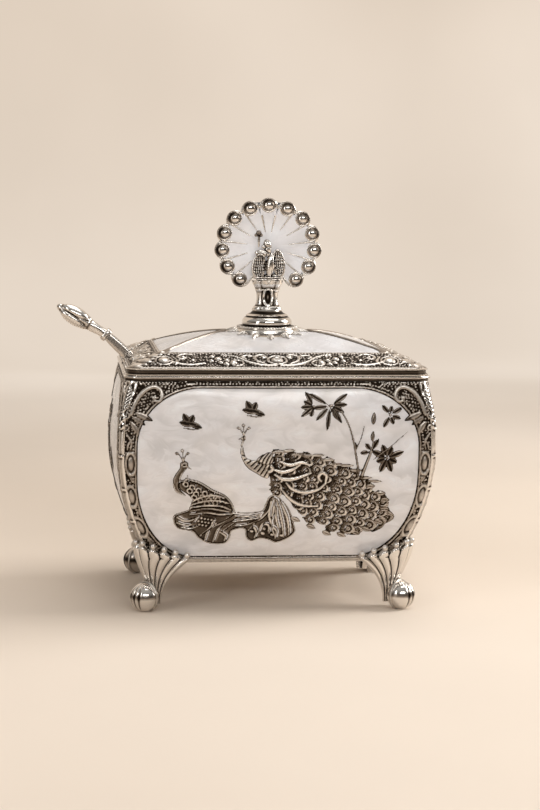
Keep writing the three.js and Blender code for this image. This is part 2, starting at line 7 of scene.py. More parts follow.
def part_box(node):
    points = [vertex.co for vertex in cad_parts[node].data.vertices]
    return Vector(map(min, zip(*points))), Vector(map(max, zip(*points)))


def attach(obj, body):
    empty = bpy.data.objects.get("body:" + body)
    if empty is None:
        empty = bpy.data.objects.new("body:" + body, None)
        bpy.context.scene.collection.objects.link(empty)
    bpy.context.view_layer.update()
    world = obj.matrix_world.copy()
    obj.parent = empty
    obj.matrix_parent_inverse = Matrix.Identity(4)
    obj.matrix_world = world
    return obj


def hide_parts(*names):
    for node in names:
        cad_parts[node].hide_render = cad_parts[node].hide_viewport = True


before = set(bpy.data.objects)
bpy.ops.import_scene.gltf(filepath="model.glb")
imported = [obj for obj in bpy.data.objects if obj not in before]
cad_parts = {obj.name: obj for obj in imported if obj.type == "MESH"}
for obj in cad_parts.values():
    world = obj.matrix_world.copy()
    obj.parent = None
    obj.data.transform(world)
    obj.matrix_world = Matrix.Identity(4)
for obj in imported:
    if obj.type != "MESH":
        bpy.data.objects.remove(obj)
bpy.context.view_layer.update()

mm = 0.001

# sizes of the cast body in millimetres, the same as in the part's source
body = {
    "halfWidth": 63.0,
    "halfDepth": 46.5,
    "baseZ": 19.5,
    "wallBottom": 21.1,
    "waistZ": 66.0,
    "wallTop": 94.0,
    "rimZ": 96.0,
    "rimInset": 3.0,
    "baseInset": 13.0,
    "bow": 2.7,
    "wallThickness": 2.6,
    "cornerLeg": 1.9,
    "lidChamfer": 4.6,
    "cornerLeafZ": 78.0,
    "seam": 0.05,
}
wallHigh = body["wallTop"] - body["seam"]
planDifference = body["halfWidth"] - body["halfDepth"]
frontLow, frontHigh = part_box("front_wall")
offsetX = (frontLow.x + frontHigh.x) / 2 / mm  # the spoon puts the box off the middle
sides = []
for turn, name in enumerate(("front", "right", "back", "left")):
    long = turn % 2 == 0
    reach = body["halfDepth"] if long else body["halfWidth"]
    sides.append({
        "name": name,
        "turn": 90 * turn,
        "long": long,
        "shift": planDifference if long else -planDifference,
        "reach": reach,
        "lidReach": reach - body["rimInset"],
    })
corners = [(-1, -1, "front_left"), (1, -1, "front_right"), (-1, 1, "back_left"), (1, 1, "back_right")]


# small helpers

def linear(red, green, blue):
    # a colour as it is read on screen, 0 to 255, as the shader takes it
    return tuple(((c / 255 + 0.055) / 1.055) ** 2.4 if c > 10 else c / 3295 for c in (red, green, blue)) + (1.0,)


def camel(corner):
    first, second = corner.split("_")
    return first + second.capitalize()


def bell(value, width):
    # 1 where the value is 0, falling off over the width
    return np.exp(-((value / width) ** 2))


def eased(share):
    return share**2 * (3 - 2 * share)


def turns(count):
    return np.linspace(0, 2 * math.pi, count, endpoint=False)


def deselectAll():
    if bpy.context.object and bpy.context.object.mode != "OBJECT":
        bpy.ops.object.mode_set(mode="OBJECT")
    bpy.ops.object.select_all(action="DESELECT")


def pick(piece):
    deselectAll()
    piece.select_set(True)
    bpy.context.view_layer.objects.active = piece


def take(name):
    # names the object that an operator has just added
    piece = bpy.context.active_object
    piece.name = name
    piece.data.name = name
    return piece


def joined(name, pieces):
    deselectAll()
    for piece in pieces:
        piece.select_set(True)
    bpy.context.view_layer.objects.active = pieces[0]
    bpy.ops.object.join()
    return take(name)


def settle(piece):
    pick(piece)
    bpy.ops.object.transform_apply(location=True, rotation=True, scale=True)
    return piece


def applyAll(piece):
    pick(piece)
    for modifier in list(piece.modifiers):
        bpy.ops.object.modifier_apply(modifier=modifier.name)
    return piece


def newPiece(name, points, faces):
    # points in millimetres
    mesh = bpy.data.meshes.new(name)
    mesh.from_pydata((np.asarray(points) * mm).tolist(), [], faces)
    mesh.update()
    piece = bpy.data.objects.new(name, mesh)
    bpy.context.scene.collection.objects.link(piece)
    return piece


def sphere(name, centre, radius, segments, rings, turn=0.0, scale=(1, 1, 1)):
    deselectAll()
    bpy.ops.mesh.primitive_uv_sphere_add(segments=segments, ring_count=rings, radius=radius * mm,
        location=[c * mm for c in centre], rotation=(0, turn, 0), scale=scale)
    return settle(take(name))


def readVertices(piece, key):
    values = np.empty(len(piece.data.vertices) * 3)
    piece.data.vertices.foreach_get(key, values)
    return values.reshape(-1, 3)


def coordsOf(piece):
    return readVertices(piece, "co") / mm


def setCoords(piece, points):
    piece.data.vertices.foreach_set("co", (np.asarray(points) * mm).ravel())
    piece.data.update()


def finish(piece, material, ridesOn, slot, *nodes, sharp=None):
    piece.data.materials.clear()
    piece.data.materials.append(material)
    pick(piece)
    if sharp:
        bpy.ops.object.shade_smooth_by_angle(angle=math.radians(sharp))
    else:
        bpy.ops.object.shade_smooth()
    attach(piece, ridesOn)
    if nodes:
        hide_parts(*nodes)
    return piece


def mark(piece, name, values):
    attribute = piece.data.attributes.get(name) or piece.data.attributes.new(name, "FLOAT", "POINT")
    attribute.data.foreach_set("value", np.asarray(values, dtype=np.float32))


def markPatina(piece, values):
    # patina on metal without stippled ground; on the ball feet and the lid band the values also hold painted shade
    count = len(piece.data.vertices)
    mark(piece, "patina", np.full(count, values) if np.isscalar(values) else values)
    mark(piece, "ground", np.zeros(count))


def patinaOf(piece):
    values = np.empty(len(piece.data.vertices), dtype=np.float32)
    piece.data.attributes["patina"].data.foreach_get("value", values)
    return values


def markHollows(piece, gain, base, rounds):
    # patina from the shape itself: hollows hold it, edges are rubbed bright
    mesh = piece.data
    count = len(mesh.vertices)
    edges = np.empty(len(mesh.edges) * 2, dtype=np.int64)
    mesh.edges.foreach_get("vertices", edges)
    a, b = edges.reshape(-1, 2).T
    co = coordsOf(piece)
    degree = np.maximum(np.bincount(a, minlength=count) + np.bincount(b, minlength=count), 1)

    def around(values):
        return (np.bincount(a, values[b], count) + np.bincount(b, values[a], count)) / degree

    mean = np.stack([around(co[:, i]) for i in range(3)], axis=1)
    gap = np.linalg.norm(co[a] - co[b], axis=1)
    length = (np.bincount(a, gap, count) + np.bincount(b, gap, count)) / degree
    hollow = ((mean - co) * readVertices(piece, "normal")).sum(1) / np.maximum(length, 1e-6)
    for _ in range(rounds):
        hollow = 0.4 * hollow + 0.6 * around(hollow)
    markPatina(piece, np.clip(base + gain * 4 * hollow, 0, 1))


def closedSheet(name, outer, inner, coarse, wrap=False, capStart=False):
    # A solid between two grids of points, rows by columns: the outer one keeps every point,
    # the inner one only its border and a coarse net. With wrap the columns run round and meet.
    rows, columns = outer.shape[:2]
    index = np.arange(rows * columns).reshape(rows, columns)
    this, following = (index, np.roll(index, -1, axis=1)) if wrap else (index[:, :-1], index[:, 1:])
    faces = np.stack([this[:-1], following[:-1], following[1:], this[1:]], axis=-1).reshape(-1, 4).tolist()
    lastColumn = columns if wrap else columns - 1
    rowStops, columnStops = (
        sorted(set(np.linspace(0, last, parts + 1).round().astype(int).tolist()))
        for last, parts in zip((rows - 1, lastColumn), coarse)
    )
    keep = np.zeros((rows, columns), dtype=bool)
    keep[0] = keep[-1] = True
    if not wrap:
        keep[:, 0] = keep[:, -1] = True
    keep[np.ix_(rowStops, [c % columns for c in columnStops])] = True
    innerIndex = -np.ones((rows, columns), dtype=int)
    innerIndex[keep] = rows * columns + np.arange(keep.sum())

    def rowPart(row, start, end):
        # a stretch of the inner side: every point on the border, one point within
        span = range(start, end, 1 if end > start else -1) if row in (0, rows - 1) else [start]
        return [innerIndex[row, c % columns] for c in span]

    def columnPart(column, start, end):
        onBorder = not wrap and column in (0, columns - 1)
        span = range(start, end, 1 if end > start else -1) if onBorder else [start]
        return [innerIndex[r, column % columns] for r in span]

    def seam(front, back, flip):
        for i in range(len(front) - 1):
            face = [int(v) for v in (back[i], back[i + 1], front[i + 1], front[i])]
            faces.append(face[::-1] if flip else face)

    for r0, r1 in zip(rowStops, rowStops[1:]):
        for c0, c1 in zip(columnStops, columnStops[1:]):
            loop = rowPart(r0, c0, c1) + columnPart(c1, r0, r1) + rowPart(r1, c1, c0) + columnPart(c0, r1, r0)
            faces.append([int(i) for i in reversed(loop)])
    if capStart:
        faces += [index[0, ::-1].tolist(), innerIndex[0].tolist()]
    ring = list(range(columns)) + ([0] if wrap else [])
    for row, flip in ((0, False), (rows - 1, True)):
        if row > 0 or not capStart:
            seam(index[row, ring], innerIndex[row, ring], flip)
    if not wrap:
        for column, flip in ((0, True), (columns - 1, False)):
            seam(index[:, column], innerIndex[:, column], flip)
    return newPiece(name, np.concatenate([outer.reshape(-1, 3), inner[keep]]), faces)


def markSheet(piece, patina, ground):
    # the outer side's grids of values, and plain worn metal behind
    rest = len(piece.data.vertices) - patina.size
    mark(piece, "patina", np.concatenate([patina.ravel(), np.full(rest, 0.35)]))
    mark(piece, "ground", np.concatenate([ground.ravel(), np.zeros(rest)]))


def normalsOf(points, wrap=False):
    # unit normals of a grid of points, outwards where columns run to the right and rows run up
    if wrap:
        across = np.roll(points, -1, axis=1) - np.roll(points, 1, axis=1)
    else:
        across = np.gradient(points, axis=1)
    normal = np.cross(across, np.gradient(points, axis=0))
    return normal / np.maximum(np.linalg.norm(normal, axis=2, keepdims=True), 1e-9)


def sweep(name, rings, closed=False):
    # a solid through rings of points; with closed the last ring joins the first
    rings = np.asarray(rings)
    count, around = rings.shape[:2]
    index = np.arange(count * around).reshape(count, around)
    current, following = (index, np.roll(index, -1, axis=0)) if closed else (index[:-1], index[1:])
    quads = [current, np.roll(current, -1, axis=1), np.roll(following, -1, axis=1), following]
    faces = np.stack(quads, axis=-1).reshape(-1, 4).tolist()
    if not closed:
        faces += [index[0, ::-1].tolist(), index[-1].tolist()]
    return newPiece(name, rings.reshape(-1, 3), faces)


def tube(name, points, radii, sides=8, closed=False):
    # a round wire through points in space
    points = np.array(points, dtype=float)
    if closed:
        ahead = np.roll(points, -1, axis=0) - np.roll(points, 1, axis=0)
    else:
        ahead = np.gradient(points, axis=0)
    ahead /= np.linalg.norm(ahead, axis=1, keepdims=True)
    radii = np.interp(np.linspace(0, 1, len(points)), np.linspace(0, 1, len(radii)), radii)
    rings = []
    for p, d, r in zip(points, ahead, radii):
        first = np.cross(d, (0.0, 1.0, 0.0))
        first /= max(np.linalg.norm(first), 1e-6)
        second = np.cross(d, first)
        rings.append([p + r * (math.cos(a) * first + math.sin(a) * second) for a in turns(sides)])
    return sweep(name, rings, closed)


def scatterBeads(name, spots):
    # small round beads in one mesh; spots give place and size
    pattern = sphere("beadPattern", (0, 0, 0), 1, 8, 6)
    points = coordsOf(pattern)
    faces = [list(p.vertices) for p in pattern.data.polygons]
    bpy.data.objects.remove(pattern)
    allPoints = [points * size + (x, y, z) for x, y, z, size in spots]
    allFaces = [[v + i * len(points) for v in face] for i in range(len(spots)) for face in faces]
    return newPiece(name, np.concatenate(allPoints), allFaces)


# chasing: a height map in millimetres on which ornament is raised

def newSheet(left, low, right, high, pitch=0.2):
    u = np.arange(left, right + pitch, pitch)
    z = np.arange(low, high + pitch, pitch)
    return {"u": u, "z": z, "pitch": pitch, "height": np.zeros((len(z), len(u))), "ground": np.zeros((len(z), len(u)))}


def patchAbout(sheet, first, second, r):
    # the part of the sheet round two places, as slices, with its coordinates
    a, b = np.searchsorted(sheet["u"], (min(first[0], second[0]) - r, max(first[0], second[0]) + r))
    c, d = np.searchsorted(sheet["z"], (min(first[1], second[1]) - r, max(first[1], second[1]) + r))
    u, z = np.meshgrid(sheet["u"][a:b], sheet["z"][c:d])
    return (slice(c, d), slice(a, b)), u, z


def dome(share, top, foot):
    return np.where(share < 1, foot + (top - foot) * np.sqrt(np.clip(1 - share**2, 0, 1)), -9)


def lift(sheet, where, value):
    sheet["height"][where] = np.maximum(sheet["height"][where], value)


def smoothLine(points, steps=6):
    p = np.array(points, dtype=float)
    if len(p) < 3:
        return p
    p = np.concatenate([[2 * p[0] - p[1]], p, [2 * p[-1] - p[-2]]])
    line = []
    for a, b, c, d in zip(p, p[1:], p[2:], p[3:]):
        for t in np.arange(steps) / steps:
            bend = (2 * a - 5 * b + 4 * c - d) * t**2 + (3 * b - a - 3 * c + d) * t**3
            line.append(0.5 * (2 * b + (c - a) * t + bend))
    return np.array(line + [p[-2]])


def nearSegment(a, b, u, z):
    # distance to a straight stretch, and how far along it the nearest place lies
    d = b - a
    s = np.clip(((u - a[0]) * d[0] + (z - a[1]) * d[1]) / max(d @ d, 1e-9), 0, 1)
    return np.hypot(u - a[0] - s * d[0], z - a[1] - s * d[1]), s


def stroke(sheet, points, halves, top, foot=-0.1, steps=6):
    # a raised round line whose half width runs through the values of halves
    line = smoothLine(points, steps)
    spread = np.interp(np.linspace(0, 1, len(line)), np.linspace(0, 1, len(halves)), halves)
    for a, b, ra, rb in zip(line, line[1:], spread, spread[1:]):
        where, u, z = patchAbout(sheet, a, b, max(ra, rb))
        distance, s = nearSegment(a, b, u, z)
        lift(sheet, where, dome(distance / (ra + (rb - ra) * s), top, foot))


def groove(sheet, points, half, depth):
    # a line cut into whatever stands there
    line = smoothLine(points)
    cut = np.zeros_like(sheet["height"])
    for a, b in zip(line, line[1:]):
        where, u, z = patchAbout(sheet, a, b, half)
        share = nearSegment(a, b, u, z)[0] / half
        cut[where] = np.maximum(cut[where], depth * np.clip(1 - share**2, 0, 1))
    sheet["height"] -= cut


def edgeDistance(outline, u, z):
    # distance to a closed outline, positive inside it
    best = np.full(u.shape, 1e9)
    inside = np.zeros(u.shape, dtype=bool)
    for a, b in zip(outline, np.roll(outline, -1, axis=0)):
        best = np.minimum(best, nearSegment(a, b, u, z)[0])
        if a[1] != b[1]:
            inside ^= ((z < a[1]) != (z < b[1])) & (u < (b[0] - a[0]) * (z - a[1]) / (b[1] - a[1]) + a[0])
    return np.where(inside, best, -best)


def plateau(sheet, points, top, foot=-0.8, edge=1.2):
    # a raised field with rounded edges
    outline = smoothLine(list(points) + [points[0]], 4)[:-1]
    where, u, z = patchAbout(sheet, outline.min(0), outline.max(0), 0.3)
    share = 1 - np.clip(edgeDistance(outline, u, z) / edge, 0, 1)
    lift(sheet, where, np.where(share < 1, dome(np.minimum(share, 0.999), top, foot), -9))


def leaf(sheet, foot, tip, half, top, low=-0.1, crease=0.22, fullest=0.45, cup=0.0):
    # a pointed leaf with a groove down its middle, or hollow within its edge
    foot, tip = np.array(foot, dtype=float), np.array(tip, dtype=float)
    length = np.linalg.norm(tip - foot)
    along = (tip - foot) / length
    where, u, z = patchAbout(sheet, foot, tip, half + 0.2)
    s = ((u - foot[0]) * along[0] + (z - foot[1]) * along[1]) / length
    across = -(u - foot[0]) * along[1] + (z - foot[1]) * along[0]
    power = math.log(0.5) / math.log(fullest)
    width = half * np.sin(math.pi * np.clip(s, 0, 1) ** power) ** 0.8 + 1e-6
    share = np.where((s > 0) & (s < 1), np.abs(across) / width, 2)
    hollow = crease * bell(across, 0.28) + cup * np.clip(1.4 - 2.2 * share, 0, 1)
    lift(sheet, where, dome(share, top, low) - hollow)


def ovalShare(u, z, centre, halfU, halfZ, turn=0.0):
    # turned clockwise by degrees
    c, s = math.cos(math.radians(turn)), math.sin(math.radians(turn))
    du, dz = u - centre[0], z - centre[1]
    return np.hypot((du * c - dz * s) / halfU, (du * s + dz * c) / halfZ)


def oval(sheet, centre, halfU, halfZ, top, turn=0.0, foot=-0.1):
    where, u, z = patchAbout(sheet, centre, centre, max(halfU, halfZ))
    lift(sheet, where, dome(ovalShare(u, z, centre, halfU, halfZ, turn), top, foot))


def hoop(sheet, centre, halfU, halfZ, wire, top, turn=0.0, foot=-0.1):
    # an oval ring of round wire
    where, u, z = patchAbout(sheet, centre, centre, max(halfU, halfZ) + wire)
    share = ovalShare(u, z, centre, halfU, halfZ, turn)
    lift(sheet, where, dome(np.abs(share - 1) * min(halfU, halfZ) / wire, top, foot))


def cabochon(sheet, centre, halfU, halfZ, turn, top=0.5):
    # a set stone cast in the metal: a wire collar, a dark groove and a pointed dome
    where, u, z = patchAbout(sheet, centre, centre, 7)
    share = ovalShare(u, z, centre, halfU, halfZ, turn)
    sheet["height"][where] = np.where(share < 0.85, -0.35, sheet["height"][where])
    sheet["ground"][where] = np.where(share < 1.15, 0, sheet["ground"][where])
    hoop(sheet, centre, halfU * 0.93, halfZ * 0.93, 0.42, top, turn)
    lift(sheet, where, dome(share / 0.62, top - 0.05, -0.3))


def lengthsAlong(line):
    return np.concatenate([[0], np.cumsum(np.linalg.norm(np.diff(line, axis=0), axis=1))])


def beadRow(sheet, points, spacing, radius, top):
    line = smoothLine(points, 8)
    length = lengthsAlong(line)
    for at in np.arange(spacing / 2, length[-1], spacing):
        centre = (np.interp(at, length, line[:, 0]), np.interp(at, length, line[:, 1]))
        oval(sheet, centre, radius, radius, top, foot=-0.05)


def feather(sheet, centre, heading, length, half, top):
    # one feather laid over those beneath it: a rounded tip, a dark edge and an eye
    c, s = math.cos(heading), math.sin(heading)
    where, u, z = patchAbout(sheet, centre, centre, length + 0.4)
    du, dz = u - centre[0], z - centre[1]
    along, across = (du * c + dz * s) / length, (-du * s + dz * c) / half
    share = np.where(along > 0, np.abs(along) ** 1.35 + across**2, np.abs(across) + 0.15 * np.abs(along))
    share = np.where(along < -1, 2, share)
    value = top - 0.28 + 0.28 * np.clip(along, -0.6, 1) - 0.4 * np.clip(share - 0.72, 0, 1)
    value = value - 0.07 * (1 + np.sin((along * length * 0.8 + np.abs(across) * half * 1.2) * 7.0))
    eye = np.hypot((along - 0.25) * length, across * half)
    value = value - 0.3 * bell(eye - half * 0.46, 0.28)
    height = np.where(share < 1, value, sheet["height"][where])
    rim = (share >= 1) & (share < 1.14) & (along > -0.2)
    sheet["height"][where] = np.where(rim & (height > -0.5), height - 0.14, height)


def blurred(values, radius):
    for axis in (0, 1):
        for _ in range(2):
            pad = [(0, 0), (0, 0)]
            pad[axis] = (radius + 1, radius)
            total = np.cumsum(np.pad(values, pad, mode="edge"), axis=axis)
            count = 2 * radius + 1
            upper = np.take(total, range(count, total.shape[axis]), axis=axis)
            lower = np.take(total, range(0, total.shape[axis] - count), axis=axis)
            values = (upper - lower) / count
    return values


def sampled(sheet, key, u, z):
    field = sheet[key]
    x = np.clip((u - sheet["u"][0]) / sheet["pitch"], 0, len(sheet["u"]) - 1.001)
    y = np.clip((z - sheet["z"][0]) / sheet["pitch"], 0, len(sheet["z"]) - 1.001)
    i, j = x.astype(int), y.astype(int)
    fx, fy = x - i, y - j
    low = field[j, i] * (1 - fx) + field[j, i + 1] * fx
    high = field[j + 1, i] * (1 - fx) + field[j + 1, i + 1] * fx
    return low * (1 - fy) + high * fy


evenPatina = 0.42


def tarnish(sheet, gain, metal):
    # hollows between raised work stay dark, what stands above its neighbours is rubbed bright
    height = sheet["height"]
    share = metal.astype(float)

    def beside(reach):
        radius = max(int(reach / sheet["pitch"]), 1)
        return blurred(height * share, radius) / np.maximum(blurred(share, radius), 0.02) - height

    sheet["patina"] = np.clip(evenPatina + gain * (beside(0.5) * 1.1 + beside(1.6) * 0.55), 0, 1)


# camera at the photograph's place and angle

camera = {
    "place": (-76.5, -725.3, 169.7),
    "yaw": 4.86,
    "pitch": -7.09,
    "roll": 0.58,
    "lens": 77.78,
    "shiftX": 0.08,
}


def makeCamera():
    yaw, pitch, roll = (math.radians(camera[k]) for k in ("yaw", "pitch", "roll"))
    level = Vector((math.cos(yaw), -math.sin(yaw), 0))
    ahead = Vector((math.sin(yaw) * math.cos(pitch), math.cos(yaw) * math.cos(pitch), math.sin(pitch)))
    upright = level.cross(ahead)
    right = level * math.cos(roll) + upright * math.sin(roll)
    up = upright * math.cos(roll) - level * math.sin(roll)
    bpy.ops.object.camera_add(location=[c * mm for c in camera["place"]])
    piece = bpy.context.active_object
    piece.name = "photoCamera"
    piece.rotation_mode = "QUATERNION"
    piece.rotation_quaternion = Matrix((right, up, -ahead)).transposed().to_quaternion()
    piece.data.sensor_width = 36
    piece.data.lens = camera["lens"]
    piece.data.shift_x = camera["shiftX"]
    piece.data.clip_start = 0.01
    bpy.context.scene.camera = piece


makeCamera()
print("camera placed")


# building materials out of nodes

def link(tree, start, end):
    # the start is another node's output, or a number or colour to set
    if isinstance(start, (int, float, tuple)):
        end.default_value = start
    else:
        tree.links.new(start, end)


def node(tree, kind, inputs=(), **settings):
    made = tree.nodes.new(kind)
    for key, value in settings.items():
        setattr(made, key, value)
    for key, value in dict(inputs).items():
        link(tree, value, made.inputs[key])
    return made


def mathNode(tree, operation, *values, clamp=False):
    return node(tree, "ShaderNodeMath", enumerate(values), operation=operation, use_clamp=clamp).outputs[0]


def ramp(tree, source, *stops):
    made = node(tree, "ShaderNodeValToRGB", {0: source})
    elements = made.color_ramp.elements
    for element, (place, colour) in zip(elements, (stops[0], stops[-1])):
        element.position, element.color = place, colour
    for place, colour in stops[1:-1]:
        elements.new(place).color = colour
    return made.outputs[0]


def mixColour(tree, share, first, second, blend="MIX"):
    inputs = {0: share, 6: first, 7: second}
    return node(tree, "ShaderNodeMix", inputs, data_type="RGBA", blend_type=blend).outputs[2]


def noise(tree, vector, size, detail=2.0, roughness=0.5, distortion=0.0):
    # size is that of a blotch, in millimetres
    inputs = {
        "Vector": vector,
        "Scale": 1 / (size * mm),
        "Detail": detail,
        "Roughness": roughness,
        "Distortion": distortion,
    }
    return node(tree, "ShaderNodeTexNoise", inputs).outputs["Fac"]


def bump(tree, shader, height, depth, strength):
    made = node(tree, "ShaderNodeBump", {"Distance": depth * mm, "Strength": strength, "Height": height})
    link(tree, made.outputs[0], shader.inputs["Normal"])


def placeIn(tree, kind="Object"):
    return node(tree, "ShaderNodeTexCoord").outputs[kind]


def newMaterial(name, values):
    material = bpy.data.materials.new(name)
    material.use_nodes = True
    shader = material.node_tree.nodes["Principled BSDF"]
    for key, value in values.items():
        shader.inputs[key].default_value = value
    return material, material.node_tree, shader


# studio: beige floor and wall in one sweep, softboxes and a world that darkens towards the camera

studio = {
    "floor": linear(233, 219, 204),
    "wall": linear(231, 215, 198),
    "sweepFront": -2500,
    "sweepStart": 950,
    "sweepRadius": 300,
    "sweepSteps": 24,
    "wallTop": 2600,
    "halfLength": 3000,
    "lampTint": (1.0, 0.982, 0.958),
    "lamps": [
        # name, place, aim, width, height, watts
        ("topBox", (160, 60, 900), (0, 0, 60), 0.7, 0.5, 2.7),
        ("rightBox", (820, 60, 460), (0, 0, 40), 0.4, 0.5, 6.3),
        ("leftBox", (-620, -520, 330), (0, 0, 60), 0.16, 0.55, 1.25),
        ("frontStrip", (160, -1250, 700), (0, 0, 60), 1.0, 0.2, 4.8),
    ],
    "worldHigh": linear(240, 236, 230),
    "worldFront": linear(72, 62, 53),
    "worldSide": linear(176, 166, 154),
    "worldStrength": 0.5,
}


def studioMaterial():
    material, tree, shader = newMaterial("studioPaint", {"Roughness": 0.75, "Specular IOR Level": 0.25})
    where = placeIn(tree)
    parts = node(tree, "ShaderNodeSeparateXYZ", {0: where}).outputs
    upwards = mathNode(tree, "MULTIPLY", parts["Z"], 2.0, clamp=True)
    base = mixColour(tree, upwards, studio["floor"], studio["wall"])
    # painted shadows: large soft cloudy patches that darken the floor and wall colour where shade would fall
    shade = ramp(tree, noise(tree, where, 420, 1.0), (0.36, (0.93, 0.92, 0.905, 1)), (0.64, (1.04, 1.045, 1.05, 1)))
    veil = ramp(tree, noise(tree, where, 90), (0.3, (0.99, 0.99, 0.99, 1)), (0.7, (1.01, 1.01, 1.01, 1)))
    tinted = mixColour(tree, 1.0, mixColour(tree, 1.0, base, shade, "MULTIPLY"), veil, "MULTIPLY")
    link(tree, tinted, shader.inputs["Base Color"])
    # far from the box the sweep shows its colour to the camera and in reflections, whatever light falls on it
    path = node(tree, "ShaderNodeLightPath").outputs
    seen = mathNode(tree, "MAXIMUM", path["Is Camera Ray"], path["Is Glossy Ray"])
    far = mathNode(tree, "MULTIPLY_ADD", parts["Y"], 1.6, -0.35, clamp=True)
    glow = node(tree, "ShaderNodeEmission", {"Color": tinted}).outputs[0]
    inputs = {0: mathNode(tree, "MULTIPLY", seen, far), 1: shader.outputs[0], 2: glow}
    link(tree, node(tree, "ShaderNodeMixShader", inputs).outputs[0], tree.nodes["Material Output"].inputs["Surface"])
    return material


def makeSweep():
    start, radius, half = (studio[k] for k in ("sweepStart", "sweepRadius", "halfLength"))
    angles = [math.radians(90 * i / studio["sweepSteps"]) for i in range(1, studio["sweepSteps"] + 1)]
    profile = [(studio["sweepFront"], 0), (start, 0)]
    profile += [(start + radius * math.sin(a), radius * (1 - math.cos(a))) for a in angles]
    profile.append((profile[-1][0], studio["wallTop"]))
    points = [(x, y, z) for y, z in profile for x in (-half, half)]
    faces = [(2 * i, 2 * i + 1, 2 * i + 3, 2 * i + 2) for i in range(len(profile) - 1)]
    piece = newPiece("studioSweep", points, faces)
    piece.data.materials.append(studioMaterial())
    pick(piece)
    bpy.ops.object.shade_smooth()


def makeLamps():
    for name, place, aim, width, height, watts in studio["lamps"]:
        bpy.ops.object.light_add(type="AREA", location=[c * mm for c in place])
        lamp = bpy.context.active_object
        lamp.name = name
        lamp.data.shape = "RECTANGLE"
        lamp.data.size, lamp.data.size_y = width, height
        lamp.data.energy = watts
        lamp.data.color = studio["lampTint"]
        lamp.rotation_mode = "QUATERNION"
        lamp.rotation_quaternion = (Vector(aim) * mm - lamp.location).to_track_quat("-Z", "Y")


def makeWorld():
    world = bpy.data.worlds.new("studioAir")
    bpy.context.scene.world = world
    world.use_nodes = True
    tree = world.node_tree
    parts = node(tree, "ShaderNodeSeparateXYZ", {0: placeIn(tree, "Generated")}).outputs
    forward = mathNode(tree, "MULTIPLY_ADD", parts["Y"], 0.5, 0.5)
    upwards = mathNode(tree, "MULTIPLY_ADD", parts["Z"], 1.25, -0.1, clamp=True)
    front = studio["worldFront"]
    around = ramp(tree, forward, (0.0, front), (0.28, front), (0.62, studio["worldSide"]))
    lit = mixColour(tree, upwards, around, studio["worldHigh"])
    seen = node(tree, "ShaderNodeLightPath").outputs["Is Camera Ray"]
    background = tree.nodes["Background"]
    link(tree, mixColour(tree, seen, lit, studio["wall"]), background.inputs["Color"])
    background.inputs["Strength"].default_value = studio["worldStrength"]


makeSweep()
makeLamps()
makeWorld()
bpy.context.scene.view_settings.view_transform = "Standard"
print("studio lit")


# finishes: cast silver whose hollows hold patina, polished silver, mother-of-pearl enamel, steel

finishes = {
    "bright": linear(226, 221, 215),
    "worn": linear(164, 155, 146),
    "dull": linear(104, 93, 82),
    "dark": linear(34, 27, 21),
    "pearlLight": linear(237, 238, 240),
    "pearlMid": linear(226, 224, 225),
    "pearlShade": linear(208, 206, 206),
    "ageInputs": {
        "Patina": 0.4,
        "Ground": 0.0,
        "Dot Size": 850.0,
        "Clouds": 0.12,
        "Grain": 0.22,
        "Low Roughness": 0.2,
        "High Roughness": 0.55,
    },
}


def tones(tree, source, **places):
    return ramp(tree, source, *((place, finishes[name]) for name, place in places.items()))


def silverAgeGroup():
    # patina, stippled ground and tarnish clouds as one group for every silver finish
    group = bpy.data.node_groups.new("silverAge", "ShaderNodeTree")
    for name, value in finishes["ageInputs"].items():
        group.interface.new_socket(name, in_out="INPUT", socket_type="NodeSocketFloat").default_value = value
    for name, kind in (("Color", "Color"), ("Roughness", "Float"), ("Height", "Float")):
        group.interface.new_socket(name, in_out="OUTPUT", socket_type="NodeSocket" + kind)
    enter = node(group, "NodeGroupInput").outputs
    where = placeIn(group)
    cells = {"Randomness": 0.75, "Vector": where, "Scale": enter["Dot Size"]}
    distance = node(group, "ShaderNodeTexVoronoi", cells).outputs["Distance"]
    dot = mathNode(group, "MULTIPLY_ADD", distance, -2.6, 1.45, clamp=True)
    fine = noise(group, where, 1.1, 3.0, 0.6)
    cloud = noise(group, where, 14, 3.0, 0.55, 0.6)
    stipple = mathNode(group, "MULTIPLY", enter["Ground"], mathNode(group, "MULTIPLY_ADD", dot, -0.78, 0.5))
    total = mathNode(group, "ADD", enter["Patina"], stipple)
    total = mathNode(group, "MULTIPLY_ADD", mathNode(group, "SUBTRACT", fine, 0.5), enter["Grain"], total)
    drift = mathNode(group, "MULTIPLY", mathNode(group, "SUBTRACT", cloud, 0.5), enter["Clouds"])
    total = mathNode(group, "ADD", total, drift, clamp=True)
    spread = mathNode(group, "SUBTRACT", enter["High Roughness"], enter["Low Roughness"])
    height = mathNode(group, "MULTIPLY", enter["Ground"], dot)
    node(group, "NodeGroupOutput", {
        "Color": tones(group, total, bright=0.2, worn=0.42, dull=0.58, dark=0.78),
        "Roughness": mathNode(group, "MULTIPLY_ADD", total, spread, enter["Low Roughness"]),
        "Height": mathNode(group, "MULTIPLY_ADD", fine, 0.12, height),
    })
    return group


silverAge = silverAgeGroup()


def silverMaterial(name, bumpDepth, values):
    # without a patina of its own the silver takes it from the piece
    material, tree, shader = newMaterial(name, {"Metallic": 1.0})
    aged = node(tree, "ShaderNodeGroup", node_tree=silverAge)
    for key, value in values.items():
        link(tree, value, aged.inputs[key])
    if "Patina" not in values:
        for key in ("Patina", "Ground"):
            source = node(tree, "ShaderNodeAttribute", attribute_name=key.lower())
            link(tree, source.outputs["Fac"], aged.inputs[key])
    link(tree, aged.outputs["Color"], shader.inputs["Base Color"])
    link(tree, aged.outputs["Roughness"], shader.inputs["Roughness"])
    bump(tree, shader, aged.outputs["Height"], bumpDepth, 0.8)
    return material


